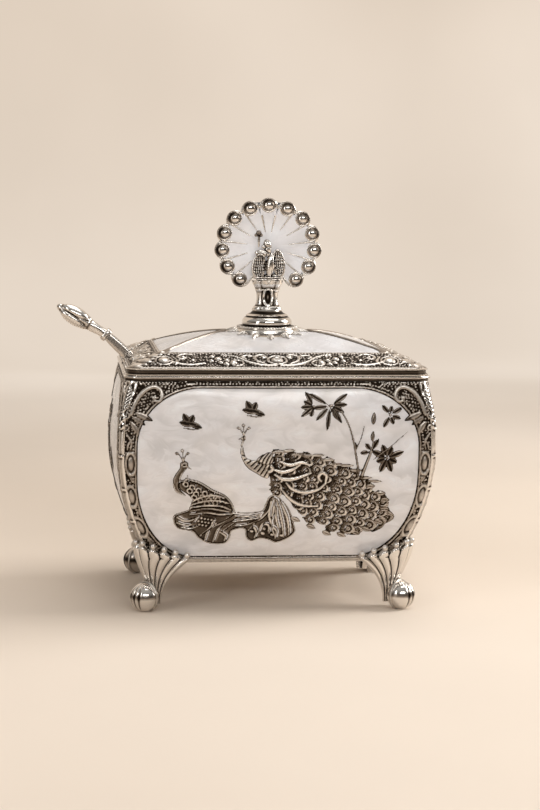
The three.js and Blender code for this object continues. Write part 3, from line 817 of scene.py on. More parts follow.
def pearlMaterial(name, cellSize, paintedGlow=0.0):
    values = {"Metallic": 0.0, "Coat Weight": 0.35, "Coat Roughness": 0.08, "IOR": 1.5}
    material, tree, shader = newMaterial(name, values)
    # the streaks run more along the sides than up them
    flat = {0: placeIn(tree), 1: (0.55, 0.55, 1.0)}
    where = node(tree, "ShaderNodeVectorMath", flat, operation="MULTIPLY").outputs[0]
    drift = noise(tree, where, cellSize * 1.6, 3.0, 0.55, 1.6)
    push = node(tree, "ShaderNodeCombineXYZ", enumerate([drift] * 3)).outputs[0]
    bent = {0: push, 1: (0.012, 0.01, 0.014), 2: where}
    swirl = {
        "Vector": node(tree, "ShaderNodeVectorMath", bent, operation="MULTIPLY_ADD").outputs[0],
        "Scale": 1 / (cellSize * mm),
        "Smoothness": 0.35,
    }
    distance = node(tree, "ShaderNodeTexVoronoi", swirl, feature="SMOOTH_F1").outputs["Distance"]
    wisp = mathNode(tree, "MULTIPLY_ADD", distance, 0.75, mathNode(tree, "MULTIPLY", drift, 0.5))
    tone = tones(tree, wisp, pearlLight=0.25, pearlMid=0.6, pearlShade=0.95)
    veins = noise(tree, where, 22, 2.0, 0.5, 0.8)
    hue = ramp(tree, veins, (0.35, (0.985, 0.995, 1.02, 1)), (0.65, (1.02, 0.998, 0.98, 1)))
    link(tree, mixColour(tree, 1.0, tone, hue, "MULTIPLY"), shader.inputs["Base Color"])
    link(tree, mathNode(tree, "MULTIPLY_ADD", wisp, 0.25, 0.14), shader.inputs["Roughness"])
    bump(tree, shader, drift, 0.5, 0.35)
    if paintedGlow:
        # painted glow: the fan's enamel gives off light in its own colour, brightening it as if lit from behind
        link(tree, tone, shader.inputs["Emission Color"])
        shader.inputs["Emission Strength"].default_value = paintedGlow
    return material


castSilver = silverMaterial("castSilver", 0.25, {"Dot Size": 900.0})
polishedSilver = silverMaterial("polishedSilver", 0.01, {
    "Low Roughness": 0.07, "High Roughness": 0.5, "Clouds": 0.06, "Grain": 0.06})
spoonSilver = silverMaterial("spoonSilver", 0.0, {
    "Low Roughness": 0.15, "High Roughness": 0.5, "Clouds": 0.0, "Grain": 0.0})
innerSilver = silverMaterial("innerSilver", 0.08, {"Patina": 0.24, "Low Roughness": 0.28, "Clouds": 0.3})
steel = silverMaterial("screwSteel", 0.05, {"Patina": 0.5, "Low Roughness": 0.3, "Clouds": 0.2})
pearl = pearlMaterial("pearlEnamel", 5.5)
# the fan's enamel carries a painted glow
fanPearl = pearlMaterial("fanPearl", 12.0, 0.2)
print("finishes mixed")


# the bowed body: where its surface is, side by side

def swell(z):
    span = np.where(z > body["waistZ"], body["rimZ"] - body["waistZ"], body["waistZ"] - body["baseZ"])
    return 1 - ((z - body["waistZ"]) / span) ** 2


def drawIn(z):
    return np.where(z > body["waistZ"], body["rimInset"], body["baseInset"]) * (1 - swell(z))


def cornerLegAt(z):
    share = np.clip((z - body["cornerLeafZ"]) / (body["wallTop"] - body["cornerLeafZ"]), 0, 1)
    return body["cornerLeg"] + (body["lidChamfer"] - body["cornerLeg"]) * eased(share)


def onPlan(side, u, out, z):
    turn = math.radians(side["turn"])
    x = u * math.cos(turn) + out * math.sin(turn) + offsetX
    y = u * math.sin(turn) - out * math.cos(turn)
    return np.stack([x, y, z + 0 * x], axis=-1)


def wallHalf(side, z):
    return side["reach"] - drawIn(z) + side["shift"] - cornerLegAt(z)


def wallPoints(side, u, z, proud=0.0):
    share = u / wallHalf(side, z)
    out = side["reach"] - drawIn(z) + body["bow"] * swell(z) * (1 - share**2) + proud
    return onPlan(side, u, out, z)


# enamel panels and the border cast round them

panel = {
    "border": 7.0,
    "low": 21.9,
    "high": 91.4,
    "lowCorner": (24.0, 34.0),
    "highCorner": (26.0, 23.0),
    "pocket": -0.9,
    "gap": 0.12,
    "enamelTop": -0.1,
    "enamelBack": -0.82,
    "enamelRoll": (0.22, 0.7),  # depth and width of its rounded edge
    "ridge": 0.34,
    "beadSpacing": 1.3,
    "rows": 46,
    "columns": 70,
    "backNet": (8, 10),
}
onEnamel = {"foot": -0.8}


def rolled(edge, depth, width):
    # how far a surface falls near its edge
    return depth * np.exp(-np.clip(edge, 0, 9) / width)


def panelHalf(side, z, grow=0.0):
    halfU = side["reach"] + side["shift"] - panel["border"] + grow
    low, high = panel["low"] - grow, panel["high"] + grow
    (lowAcross, lowRise), (highAcross, highRise) = panel["lowCorner"], panel["highCorner"]
    under = np.clip((low + lowRise - z) / lowRise, 0, 1)
    over = np.clip((z - high + highRise) / highRise, 0, 1)
    return halfU - lowAcross * (1 - np.sqrt(1 - under**2)) - highAcross * (1 - np.sqrt(1 - over**2))


def panelOutline(side, grow):
    low, high = panel["low"] - grow, panel["high"] + grow
    z = low + (high - low) * (1 - np.cos(np.linspace(0, math.pi, 60))) / 2
    half = panelHalf(side, z, grow)
    right = np.stack([half, z], axis=1)
    left = np.stack([-half, z], axis=1)[::-1]
    return np.concatenate([right, left, right[:1]])


def dots(sheet, places, top, foot=-0.1):
    # round berries: place across and up, radius
    for u, z, size in places:
        oval(sheet, (u, z), size, size, top, foot=foot)


def border(sheet, side):
    # ridge and beads at the enamel, cabochons, scrolls and leaves, the same at both ends
    shift = side["reach"] + side["shift"] - body["halfWidth"]
    stroke(sheet, panelOutline(side, 0.5), [0.42], panel["ridge"], steps=1)
    beadRow(sheet, panelOutline(side, 1.55), panel["beadSpacing"], 0.52, 0.36)
    for sign in (-1, 1):
        def at(u, z):
            return (sign * (u + shift), z)

        def through(*places):
            return [at(*place) for place in places]

        scroll = through((58.4, 81.2), (56.4, 86.3), (53.6, 90.0), (49.9, 91.9), (47.3, 91.0), (46.3, 88.6),
            (47.2, 86.4), (49.2, 86.4))
        stroke(sheet, scroll, [0.75, 0.95, 0.95, 0.8, 0.6], 0.5)
        oval(sheet, at(49.3, 87.6), 1.0, 1.0, 0.55)
        for i in range(5):
            for j in range(7):
                place = at(57.0 - 1.15 * j - 0.2 * i, 82.4 + 1.35 * i + 0.28 * j)
                if place[1] < 90 and abs(place[0]) > panelHalf(side, place[1]) + 2.2:
                    oval(sheet, place, 0.5, 0.5, 0.26)
        for i in range(12):
            oval(sheet, at(57.6 - 1.5 * i, 92.9), 0.55, 0.5, 0.34)
            if i > 6:
                oval(sheet, at(56.9 - 1.5 * i, 91.7 + 0.05 * i), 0.5, 0.5, 0.28)
        for foot, tip, half, top in (
            ((57.0, 81.9), (49.6, 78.6), 1.35, 0.55),
            ((58.0, 80.4), (52.6, 76.9), 1.1, 0.4),
            ((58.6, 78.6), (55.3, 73.0), 1.15, 0.5),
            ((59.8, 86.0), (56.0, 92.6), 1.0, 0.45),
        ):
            leaf(sheet, at(*foot), at(*tip), half, top)
        stroke(sheet, through((60.6, 84.6), (59.6, 88.0), (57.6, 91.4)), [0.5, 0.9, 0.4], 0.5)
        for u, z, r in ((60.3, 80.7, 1.15), (59.0, 83.4, 0.85), (60.4, 75.9, 0.95)):
            hoop(sheet, at(u, z), r, r, 0.38, 0.5)
            oval(sheet, at(u, z), 0.4, 0.4, 0.4)
        stroke(sheet, through((60.4, 73.8), (58.4, 70.4), (58.6, 67.4)), [0.35, 0.55, 0.3], 0.42)
        stroke(sheet, through((57.4, 72.0), (59.4, 69.6), (59.8, 67.2)), [0.3, 0.5, 0.3], 0.4)
        for u, z, halfU, halfZ, turn in (
            (58.5, 61.6, 2.05, 4.9, 2), (58.0, 48.2, 2.05, 4.9, 10), (54.3, 35.2, 2.15, 5.0, 27),
        ):
            cabochon(sheet, at(u, z), halfU, halfZ, sign * turn)
        # leaves between the cabochons, from the wall's side edge: level, foot, tip, half width, height
        between = ((-3.9, -1.6), (-1.2, 2.0), 0.75, 0.36), ((-1.2, -1.8), (-3.8, 1.6), 0.6, 0.3)
        under = (((-0.8, 2.4), (-5.2, -2.2), 0.9, 0.42),)
        for z, leaves in ((55.0, between), (41.7, between), (29.2, under), (26.4, under)):
            edge = float(wallHalf(side, z)) - shift
            for foot, tip, half, top in leaves:
                leaf(sheet, at(edge + foot[0], z + foot[1]), at(edge + tip[0], z + tip[1]), half, top)


def sprig(sheet, centre, count, length, half, start=0.0, spread=360.0):
    for i in range(count):
        angle = math.radians(start + spread * i / max(count - (spread < 360), 1))
        way = math.cos(angle), math.sin(angle)
        reach = length * (0.82 + 0.18 * math.cos(2.3 * i))
        foot, tip = ((centre[0] + out * way[0], centre[1] + out * way[1]) for out in (0.5, reach))
        leaf(sheet, foot, tip, half * 1.25, 0.45, low=-0.75, crease=0.1, fullest=0.55, cup=0.4)
    oval(sheet, centre, 0.7, 0.7, 0.5, foot=-0.75)


def smallBird(sheet, x, z):
    for foot, tip, half in (
        ((-4.2, -0.2), (3.4, -1.3), 1.6),
        ((-0.4, -0.4), (5.4, -2.4), 1.45),
        ((-0.2, -0.4), (-2.6, 3.4), 1.7),
        ((0.4, -0.4), (1.9, 3.0), 1.5),
    ):
        foot, tip = (x + foot[0], z + foot[1]), (x + tip[0], z + tip[1])
        leaf(sheet, foot, tip, half, 0.45, low=-0.75, crease=0.0, cup=0.42)
    stroke(sheet, [(x - 2.2, z - 2.4), (x + 1.4, z - 3.0), (x + 4.6, z - 2.6)], [0.3, 0.45, 0.25], 0.3, foot=-0.75)


def crest(sheet, foot, tips):
    for tip in tips:
        stroke(sheet, [foot, tip], [0.38, 0.34], 0.36, **onEnamel)
        low = (tip[0] * 1.5 - foot[0] * 0.5, tip[1] * 0.75 + foot[1] * 0.25)
        high = (tip[0] * 1.12 - foot[0] * 0.12, tip[1] * 1.14 - foot[1] * 0.14)
        leaf(sheet, low, high, 0.95, 0.42, low=-0.8, crease=0.3)


def peahen(sheet):
    plateau(sheet, [
        (-36.6, 55.8), (-31.4, 54.2), (-26.1, 50.9), (-22.0, 49.0), (-19.2, 46.6), (-17.6, 42.6), (-22.0, 41.0),
        (-30.0, 41.0), (-35.4, 43.0), (-33.9, 46.4), (-36.4, 49.1), (-39.4, 51.4), (-39.8, 54.2)], 0.14, edge=1.1)
    plateau(sheet, [
        (-37.2, 63.4), (-35.8, 62.4), (-35.9, 60.6), (-37.6, 58.2), (-39.0, 55.4), (-39.4, 52.2), (-37.2, 49.8),
        (-36.4, 48.6), (-38.8, 49.2), (-41.0, 51.0), (-42.2, 54.8), (-41.4, 57.4), (-39.6, 60.2), (-39.4, 62.4)],
        0.2, edge=0.8)
    for line, halves, top in (
        (((-37.0, 59.6), (-38.6, 57.6), (-39.2, 55.2), (-36.6, 55.4), (-36.2, 57.2)), [0.3, 0.4, 0.45, 0.4, 0.3], 0.5),
        (((-41.8, 53.6), (-40.4, 50.6), (-37.0, 48.9)), [0.4, 0.5, 0.4], 0.45),
        (((-36.4, 60.7), (-34.8, 59.7)), [0.55, 0.25], 0.42),
        (((-37.0, 55.9), (-31.4, 54.3), (-26.1, 51.0), (-21.4, 48.8), (-18.6, 45.6), (-17.4, 42.2)),
            [0.4, 0.6, 0.5, 0.4], 0.5),
    ):
        stroke(sheet, line, halves, top, **onEnamel)
    hoop(sheet, (-37.5, 61.4), 0.8, 0.7, 0.3, 0.5, **onEnamel)
    oval(sheet, (-37.5, 61.4), 0.3, 0.3, 0.45, **onEnamel)
    crest(sheet, (-38.0, 62.8), ((-40.0, 66.2), (-38.3, 67.4), (-36.6, 66.2)))
    for x, z, count in ((-36.8, 53.6, 6), (-35.2, 50.9, 5), (-33.4, 48.2, 3)):
        for i in range(count):
            u, v = x + 2.55 * i, z - 1.25 * i
            hoop(sheet, (u, v), 1.05, 0.85, 0.32, 0.42, turn=30, foot=0.0)
            groove(sheet, [(u + 1.2, v + 1.2), (u + 1.5, v - 1.2)], 0.32, 0.35)
    for line in (
        ((-34.4, 46.2), (-30.4, 48.4), (-25.0, 49.0), (-21.4, 47.9)),
        ((-34.6, 45.0), (-29.6, 46.6), (-24.2, 46.9), (-19.6, 45.8)),
        ((-35.0, 43.9), (-28.6, 44.8), (-22.6, 44.5), (-18.6, 42.8)),
    ):
        stroke(sheet, line, [0.25, 0.5, 0.4, 0.25], 0.46, foot=0.0)
    for i in range(6):
        oval(sheet, (-31.4 + 2.1 * i, 46.8 + 0.6 * math.sin(0.8 * i) - 0.1 * i), 0.5, 0.42, 0.4, foot=0.0)


def peacockTrain(sheet):
    # rows of feathers between the train's upper and lower edge, the tip of the tail first
    vary = np.random.default_rng(11)
    upper = np.array([
        (-4.6, 65.6), (-2.1, 66.5), (5.4, 66.8), (12.6, 65.4), (17.9, 63.8), (25.4, 60.7), (29.6, 58.4),
        (33.4, 55.7), (36.4, 51.6), (41.4, 47.6), (42.9, 42.5)])
    under = np.array([
        (-4.6, 55.7), (-2.1, 50.6), (2.9, 48.6), (8.4, 43.6), (10.4, 39.5), (16.4, 36.5), (22.9, 33.9),
        (28.9, 32.6), (34.4, 33.5), (40.4, 35.5), (43.6, 38.4)])
    plateau(sheet, list(upper) + list(under[::-1]), -0.05, edge=1.5)

    def across(s, v):
        place = s * (len(upper) - 1)
        i = min(int(place), len(upper) - 2)
        a = upper[i] + (upper[i + 1] - upper[i]) * (place - i)
        b = under[i] + (under[i + 1] - under[i]) * (place - i)
        return a + (b - a) * v, np.linalg.norm(b - a)

    for row, s in enumerate(np.arange(0.99, 0.08, -0.079)):
        size = 1.55 + 1.3 * s
        count = max(int(round(across(s, 0)[1] / (1.7 * size))), 2)
        for i in range(count + row % 2):
            v = (i + (0.5 if row % 2 == 0 else 0.0)) / count
            centre = across(s, min(max(v, 0.03), 0.97))[0]
            ahead = across(min(s + 0.05, 1.0), min(max(v + 0.05 * (v - 0.5), 0.02), 0.98))[0]
            way = ahead - across(max(s - 0.05, 0.0), v)[0]
            turn = math.atan2(way[1], way[0]) + vary.uniform(-0.3, 0.3)
            grown = size * vary.uniform(0.85, 1.15)
            feather(sheet, centre + vary.uniform(-0.35, 0.35, 2), turn, grown * 1.45, grown * 0.98, 0.47)


def peacock(sheet):
    peacockTrain(sheet)
    for tip in (
        (47.4, 39.8), (45.4, 42.6), (45.2, 46.6), (43.4, 49.4), (39.0, 52.4), (43.6, 36.2), (38.6, 33.0),
        (34.4, 31.6), (28.6, 30.6), (22.6, 31.4), (16.0, 34.4), (9.6, 37.6),
    ):
        foot = (tip[0] - 4.2, tip[1] + (1.9 if tip[1] < 41 else 0.2))
        leaf(sheet, foot, tip, 1.35, 0.45, low=-0.8, crease=0.32)
    for i in range(11):
        start = (-3.5 + 3.9 * i, 66.4 + 0.7 * math.sin(1.9 * i) - 0.118 * i * i)
        leaf(sheet, start, (start[0] + 6.4, start[1] + 0.6 - 0.1 * i), 0.85, 0.48, low=-0.8, crease=0.3)
    for line in (
        [(-5.4, 60.6), (-4.0, 61.4), (-2.8, 60.0), (-3.8, 58.8), (-4.9, 59.4)],
        [(-3.0, 60.0), (0.8, 58.6), (4.6, 59.4), (8.0, 61.4)],
        [(-1.8, 57.6), (1.6, 55.7), (6.4, 55.9), (12.6, 58.2)],
        [(2.9, 54.2), (5.4, 51.6), (10.4, 50.2), (15.6, 51.4), (18.6, 54.0)],
        [(1.4, 51.2), (4.4, 47.6), (9.4, 44.9), (16.0, 44.3)],
        [(18.4, 54.2), (18.8, 57.0), (17.0, 58.2), (15.6, 56.6), (16.8, 54.8)],
        [(0.2, 62.8), (4.2, 61.4), (8.8, 62.4), (12.4, 61.2)],
    ):
        stroke(sheet, line, [0.4, 0.85, 0.8, 0.4], 0.58, foot=-0.2)
    # neck, shoulder and head
    plateau(sheet, [
        (-15.4, 69.2), (-14.3, 68.8), (-13.6, 66.0), (-11.6, 64.0), (-7.4, 63.6), (-3.6, 61.6), (-4.0, 56.2),
        (-6.0, 55.9), (-9.4, 57.8), (-13.0, 60.2), (-15.1, 63.6), (-15.9, 66.6)], 0.3, edge=1.0)
    for i in range(8):
        s = i / 7
        line = [(-15.4 + 9.4 * s, 65.4 - 8.6 * s**0.8), (-13.2 + 8.6 * s, 65.0 - 5.6 * s),
            (-11.8 + 8.4 * s, 63.9 - 1.4 * s)]
        groove(sheet, line, 0.3, 0.4)
    plateau(sheet, [
        (-9.6, 63.2), (-8.4, 64.8), (-5.4, 66.6), (-2.8, 66.4), (-2.2, 63.4), (-3.8, 61.0), (-6.6, 61.4)], 0.46)
    for i in range(4):
        groove(sheet, [(-8.6 + 1.5 * i, 61.8), (-7.6 + 1.5 * i, 64.2), (-5.6 + 1.2 * i, 66.2)], 0.3, 0.35)
    stroke(sheet, [(-14.2, 72.0), (-15.2, 69.2)], [0.6, 0.5], 0.35, **onEnamel)
    oval(sheet, (-14.3, 72.0), 1.15, 1.5, 0.4, turn=15, **onEnamel)
    groove(sheet, [(-14.4, 72.8), (-14.2, 71.4)], 0.5, 0.35)
    stroke(sheet, [(-15.0, 72.2), (-16.3, 71.6)], [0.45, 0.22], 0.4, **onEnamel)
    crest(sheet, (-14.3, 73.2), ((-16.0, 76.2), (-14.4, 77.4), (-12.7, 76.2)))


rock = {
    "outline": [
        (-34.2, 45.6), (-35.2, 42.8), (-40.4, 40.8), (-41.2, 38.4), (-39.4, 35.0), (-33.6, 33.6), (-31.2, 30.9),
        (-27.6, 28.6), (-23.1, 27.9), (-19.9, 28.6), (-18.6, 31.2), (-18.0, 33.7), (-14.6, 34.9), (-12.4, 34.2),
        (-11.8, 30.8), (-9.6, 29.2), (-6.6, 30.4), (-3.1, 29.9), (0.4, 28.5), (5.2, 30.6), (7.4, 33.2),
        (6.9, 36.0), (5.7, 40.0), (3.4, 44.4), (-0.6, 48.6), (-3.4, 48.4), (-4.8, 45.2), (-6.4, 42.2),
        (-13.6, 41.5), (-18.6, 42.6), (-26.0, 46.0),
    ],
    "folds": [
        [(-34.8, 42.4), (-28.6, 43.6), (-23.4, 42.9), (-18.2, 41.9)],
        [(-35.0, 41.0), (-28.4, 41.8), (-22.6, 41.0), (-16.8, 41.6)],
        [(-39.8, 39.6), (-37.0, 38.2), (-33.4, 39.0), (-30.6, 41.0)],
        [(-40.0, 37.4), (-36.8, 36.3), (-33.8, 37.0), (-32.0, 39.6)],
        [(-38.2, 35.4), (-34.6, 35.0), (-31.2, 36.2)],
        [(-17.0, 41.2), (-21.4, 38.0), (-26.8, 34.8), (-28.6, 29.2)],
        [(-14.6, 40.8), (-19.0, 37.6), (-23.4, 34.4), (-25.2, 29.0)],
        [(-11.2, 40.6), (-15.6, 38.0), (-19.4, 35.2), (-21.6, 33.4)],
        [(-25.4, 38.4), (-26.6, 35.0), (-30.4, 31.6)],
        [(-22.6, 33.2), (-20.2, 31.4), (-20.6, 29.4)],
        [(-17.0, 40.6), (-12.0, 40.2), (-6.4, 41.2)],
        [(-17.6, 38.0), (-12.6, 38.8), (-7.0, 39.6)],
        [(-16.8, 36.0), (-12.2, 36.6), (-9.0, 38.2), (-6.8, 40.6)],
        [(-2.0, 48.0), (-3.6, 42.6), (-6.6, 38.6), (-9.4, 36.6)],
        [(-1.4, 47.6), (-1.8, 41.0), (-2.4, 36.6), (0.0, 30.6)],
        [(-0.8, 47.2), (1.2, 40.6), (2.4, 35.6), (3.0, 31.0)],
        [(0.6, 46.4), (3.6, 40.4), (4.8, 35.6), (5.2, 32.0)],
        [(-2.8, 46.6), (-3.4, 41.2), (-2.6, 37.0)],
        [(-1.0, 44.2), (-0.4, 39.0), (0.8, 34.6)],
        [(-11.4, 34.0), (-9.4, 35.4), (-8.0, 33.2), (-8.6, 30.6)],
        [(-7.2, 33.0), (-5.8, 36.6), (-3.4, 36.2), (-2.8, 32.8)],
        [(-3.4, 33.6), (-1.8, 35.4), (0.0, 33.4), (-0.2, 30.4)],
    ],
    "stones": [(-9.9, 33.6, 0.9), (-5.4, 32.6, 1.0), (-1.6, 32.0, 0.9), (2.2, 31.6, 0.8), (-4.9, 34.6, 0.7)],
}


def rockAndGround(sheet):
    # the birds stand on one run of rock and grass, cut in flowing folds
    plateau(sheet, rock["outline"], 0.08, edge=0.9)
    edge = smoothLine(rock["outline"] + rock["outline"][:1], 4)
    stroke(sheet, edge, [0.38], 0.3, foot=-0.6, steps=1)
    for i, line in enumerate(rock["folds"]):
        stroke(sheet, line, [0.22, 0.42 + 0.1 * (i % 3), 0.25], 0.38, foot=-0.05)
        groove(sheet, [(x + 0.75, z + 0.5) for x, z in line], 0.34, 0.4)
    for i in range(15):
        place = (-31.6 + 1.35 * (i % 6) + 0.3 * (i // 6), 39.6 - 1.5 * (i // 6) - 0.25 * (i % 6))
        oval(sheet, place, 0.5, 0.42, 0.46, foot=0.0)
    for x, z, size in rock["stones"]:
        oval(sheet, (x, z), size, size * 0.7, 0.48, turn=20)


def bamboo(sheet):
    for line, halves, top in (
        (((31.9, 55.0), (31.4, 60.0), (30.4, 65.4), (29.2, 71.6), (27.2, 77.8), (24.6, 82.4)),
            [0.7, 0.62, 0.52, 0.45], 0.34),
        (((32.6, 55.4), (34.4, 60.8), (36.2, 65.6)), [0.95, 0.85, 0.75], 0.4),
        (((36.2, 65.6), (37.2, 69.6), (37.4, 74.0)), [0.45, 0.35], 0.36),
        (((30.2, 67.0), (32.4, 71.8), (33.6, 76.6)), [0.35, 0.3], 0.3),
        (((37.4, 63.2), (41.0, 66.0), (44.4, 68.4), (48.4, 71.8), (51.4, 74.4)), [0.3, 0.32, 0.25], 0.3),
    ):
        stroke(sheet, line, halves, top, **onEnamel)
    sprig(sheet, (43.0, 64.0), 8, 7.4, 1.25, start=20)
    for centre, start, spread, count, length in (
        ((20.0, 84.6), 150, 150, 5, 10.4),
        ((20.6, 84.8), -60, 95, 4, 8.4),
        ((13.6, 84.4), 120, 130, 5, 7.0),
        ((44.2, 81.0), -120, 250, 6, 6.0),
        ((36.6, 66.6), 60, 130, 3, 6.0),
    ):
        sprig(sheet, centre, count, length, 0.95, start, spread)
    leaf(sheet, (37.2, 77.0), (37.8, 82.4), 1.25, 0.42, low=-0.8)
    leaf(sheet, (36.8, 70.6), (37.4, 75.0), 1.1, 0.42, low=-0.8)
    leaf(sheet, (30.2, 66.8), (30.2, 70.6), 0.9, 0.4, low=-0.8)
    for place in ((31.6, 58.6), (30.6, 64.6), (29.2, 71.4), (27.0, 78.2), (35.0, 62.4)):
        oval(sheet, place, 0.75, 0.45, 0.42, **onEnamel)


def sideSpray(sheet):
    for line, halves, top in (
        (((-15, 34.0), (-11.4, 43.0), (-6.0, 52.6), (-1.0, 62.0), (3.4, 72.4)), [0.9, 0.8, 0.6, 0.4], 0.45),
        (((-9.4, 46.6), (-2.0, 47.4), (4.6, 46.0)), [0.6, 0.4], 0.4),
        (((-4.0, 56.4), (-12.0, 62.4), (-16.4, 68.8)), [0.5, 0.3], 0.38),
        (((-7.4, 50.2), (-14.0, 50.0), (-20.6, 52.0)), [0.5, 0.3], 0.38),
        (((-3.0, 58.4), (5.6, 56.4), (14.4, 58.4)), [0.5, 0.3], 0.38),
        (((2.0, 47.0), (10.6, 42.6), (15.0, 37.4)), [0.45, 0.3], 0.38),
    ):
        stroke(sheet, line, halves, top, **onEnamel)
    for u, z, count, length in (
        (3.4, 65.6, 9, 7.0), (6.4, 46.4, 9, 7.6), (-14.4, 36.0, 8, 7.2), (-16.6, 69.4, 6, 5.2), (4.6, 76.6, 5, 4.6),
        (-21.0, 52.0, 7, 5.6), (14.6, 58.4, 7, 6.0), (-4.6, 77.6, 6, 4.6), (15.0, 37.0, 7, 5.2),
    ):
        sprig(sheet, (u, z), count, length, 1.5, start=12 * count)
        hoop(sheet, (u, z), 1.5, 1.5, 0.4, 0.5, **onEnamel)
    for i in range(6):
        start = (-13 + 3.2 * i, 39 + 5.6 * i)
        leaf(sheet, start, (start[0] + (4.6 if i % 2 else -4.4), start[1] + 3.4), 1.2, 0.42, low=-0.8)
    plateau(sheet, [(-22, 29.6), (-14, 31.0), (-4, 29.8), (6, 31.2), (16, 29.4), (14, 27.0), (-18, 27.0)], 0.3)
    for i in range(9):
        line = [(-20 + 4 * i, 28.0), (-18.4 + 4 * i, 30.0), (-16.6 + 4 * i, 28.4)]
        stroke(sheet, line, [0.35, 0.5, 0.35], 0.48, foot=0.1)


walls = {
    "columnPitch": 0.4,
    "rows": 190,
    "backNet": (8, 14),
    "reliefTop": 0.5,
    "reliefLow": -0.4,
    "raised": 0.25,
    "patinaGain": 1.9,
    "scenePatinaAndShade": 0.18,
    "borderPatina": 0.09,
    "slenderPatina": 0.16,
}


def wallSheet(side):
    half = side["reach"] + side["shift"]
    sheet = newSheet(-half - 1, 20.0, half + 1, 95.0)
    u, z = np.meshgrid(sheet["u"], sheet["z"])
    between = (z > panel["low"]) & (z < panel["high"])
    inPanel = (np.abs(u) < panelHalf(side, z)) & between
    sheet["height"] = np.where(inPanel, panel["pocket"], 0.0)
    sheet["ground"] = np.where(inPanel, 0.0, 1.0)
    border(sheet, side)
    if side["long"]:
        bamboo(sheet)
        smallBird(sheet, -35.7, 78.4)
        smallBird(sheet, -10.9, 83.4)
    else:
        sideSpray(sheet)
    slender = inPanel & (sheet["height"] > panel["pocket"] + walls["raised"])
    if side["long"]:
        rockAndGround(sheet)
        peahen(sheet)
        peacock(sheet)
    inPanel = (np.abs(u) < panelHalf(side, z) + 0.1) & between
    height = np.clip(sheet["height"], np.where(inPanel, panel["pocket"], walls["reliefLow"]), walls["reliefTop"])
    sheet["height"] = height
    sheet["ground"] = np.where((height > 0.12) | inPanel, 0.0, sheet["ground"])
    tarnish(sheet, walls["patinaGain"], ~inPanel | (height > panel["pocket"] + walls["raised"]))
    patina = sheet["patina"] + walls["slenderPatina"] * slender
    onBorder = evenPatina + 0.42 * (patina - evenPatina) + walls["borderPatina"]
    # the chased scene in the panel is darkened all over: part patina, part painted shade standing in for the shading
    # of its relief
    sheet["patina"] = np.clip(np.where(inPanel, patina * 1.1 + walls["scenePatinaAndShade"], onBorder), 0, 1)
    return sheet


def makeWall(side, sheet):
    z = np.linspace(body["wallBottom"], wallHigh, walls["rows"])[:, None]
    columns = int(2 * (side["reach"] + side["shift"]) / walls["columnPitch"])
    t = np.linspace(-1, 1, columns)[None, :]
    half = wallHalf(side, z) - 0.03
    u = half * t
    base = wallPoints(side, u, z)
    outer = base + normalsOf(base) * sampled(sheet, "height", u, z)[..., None]
    outer[..., 2] = np.clip(outer[..., 2], body["wallBottom"], wallHigh)
    inner = wallPoints(side, (half - body["wallThickness"] * 0.3) * t, z, -body["wallThickness"])
    piece = closedSheet(side["name"] + "Wall", outer, inner, walls["backNet"])
    markSheet(piece, sampled(sheet, "patina", u, z), sampled(sheet, "ground", u, z))
    finish(piece, castSilver, "body", "silver", side["name"] + "_wall", sharp=50)


def makeWallEnamel(side):
    low, high, gap = panel["low"], panel["high"], panel["gap"]
    share = (1 - np.cos(np.linspace(0, math.pi, panel["rows"]))) / 2
    z = (low + gap + (high - low - 2 * gap) * share)[:, None]
    u = (panelHalf(side, z) - gap) * np.sin(np.linspace(-math.pi / 2, math.pi / 2, panel["columns"]))[None, :]
    base = wallPoints(side, u, z)
    normal = normalsOf(wallPoints(side, wallHalf(side, z) * np.linspace(-1, 1, panel["columns"])[None, :], z))
    edge = np.minimum(panelHalf(side, z) - np.abs(u), np.minimum(z - low, high - z))
    outer = base + normal * (panel["enamelTop"] - rolled(edge, *panel["enamelRoll"]))[..., None]
    piece = closedSheet(side["name"] + "Enamel", outer, base + normal * panel["enamelBack"], panel["backNet"])
    finish(piece, pearl, "body", "enamel", side["name"] + "_enamel", sharp=40)


wallSheets = {side["long"]: wallSheet(side) for side in sides[:2]}
for side in sides:
    makeWall(side, wallSheets[side["long"]])
    makeWallEnamel(side)
print("walls chased and enamelled")


# corner posts: a smooth bright ridge with a leaf and rings near the top

post = {
    "across": 15,
    "rows": 230,
    "round": 0.75,
    "leafLow": 81.0,
    "leafHigh": 92.5,
    "ringPlaces": (79.6, 76.6),
    "notches": (24.0, 76.0, 13.5),  # from, below, step
    "leafRise": 0.55,
    "leafSink": 0.45,
    "ringRise": 0.5,
    "notchRise": 0.25,
    "backNet": (16, 2),
}


def cornerPoints(signX, signY, x, y, z):
    # a grid of points at one of the four corners, its columns running to the right from outside
    points = np.stack([signX * x + offsetX, signY * y, z + 0 * x], axis=-1)
    return points[:, ::-1] if signX * signY > 0 else points


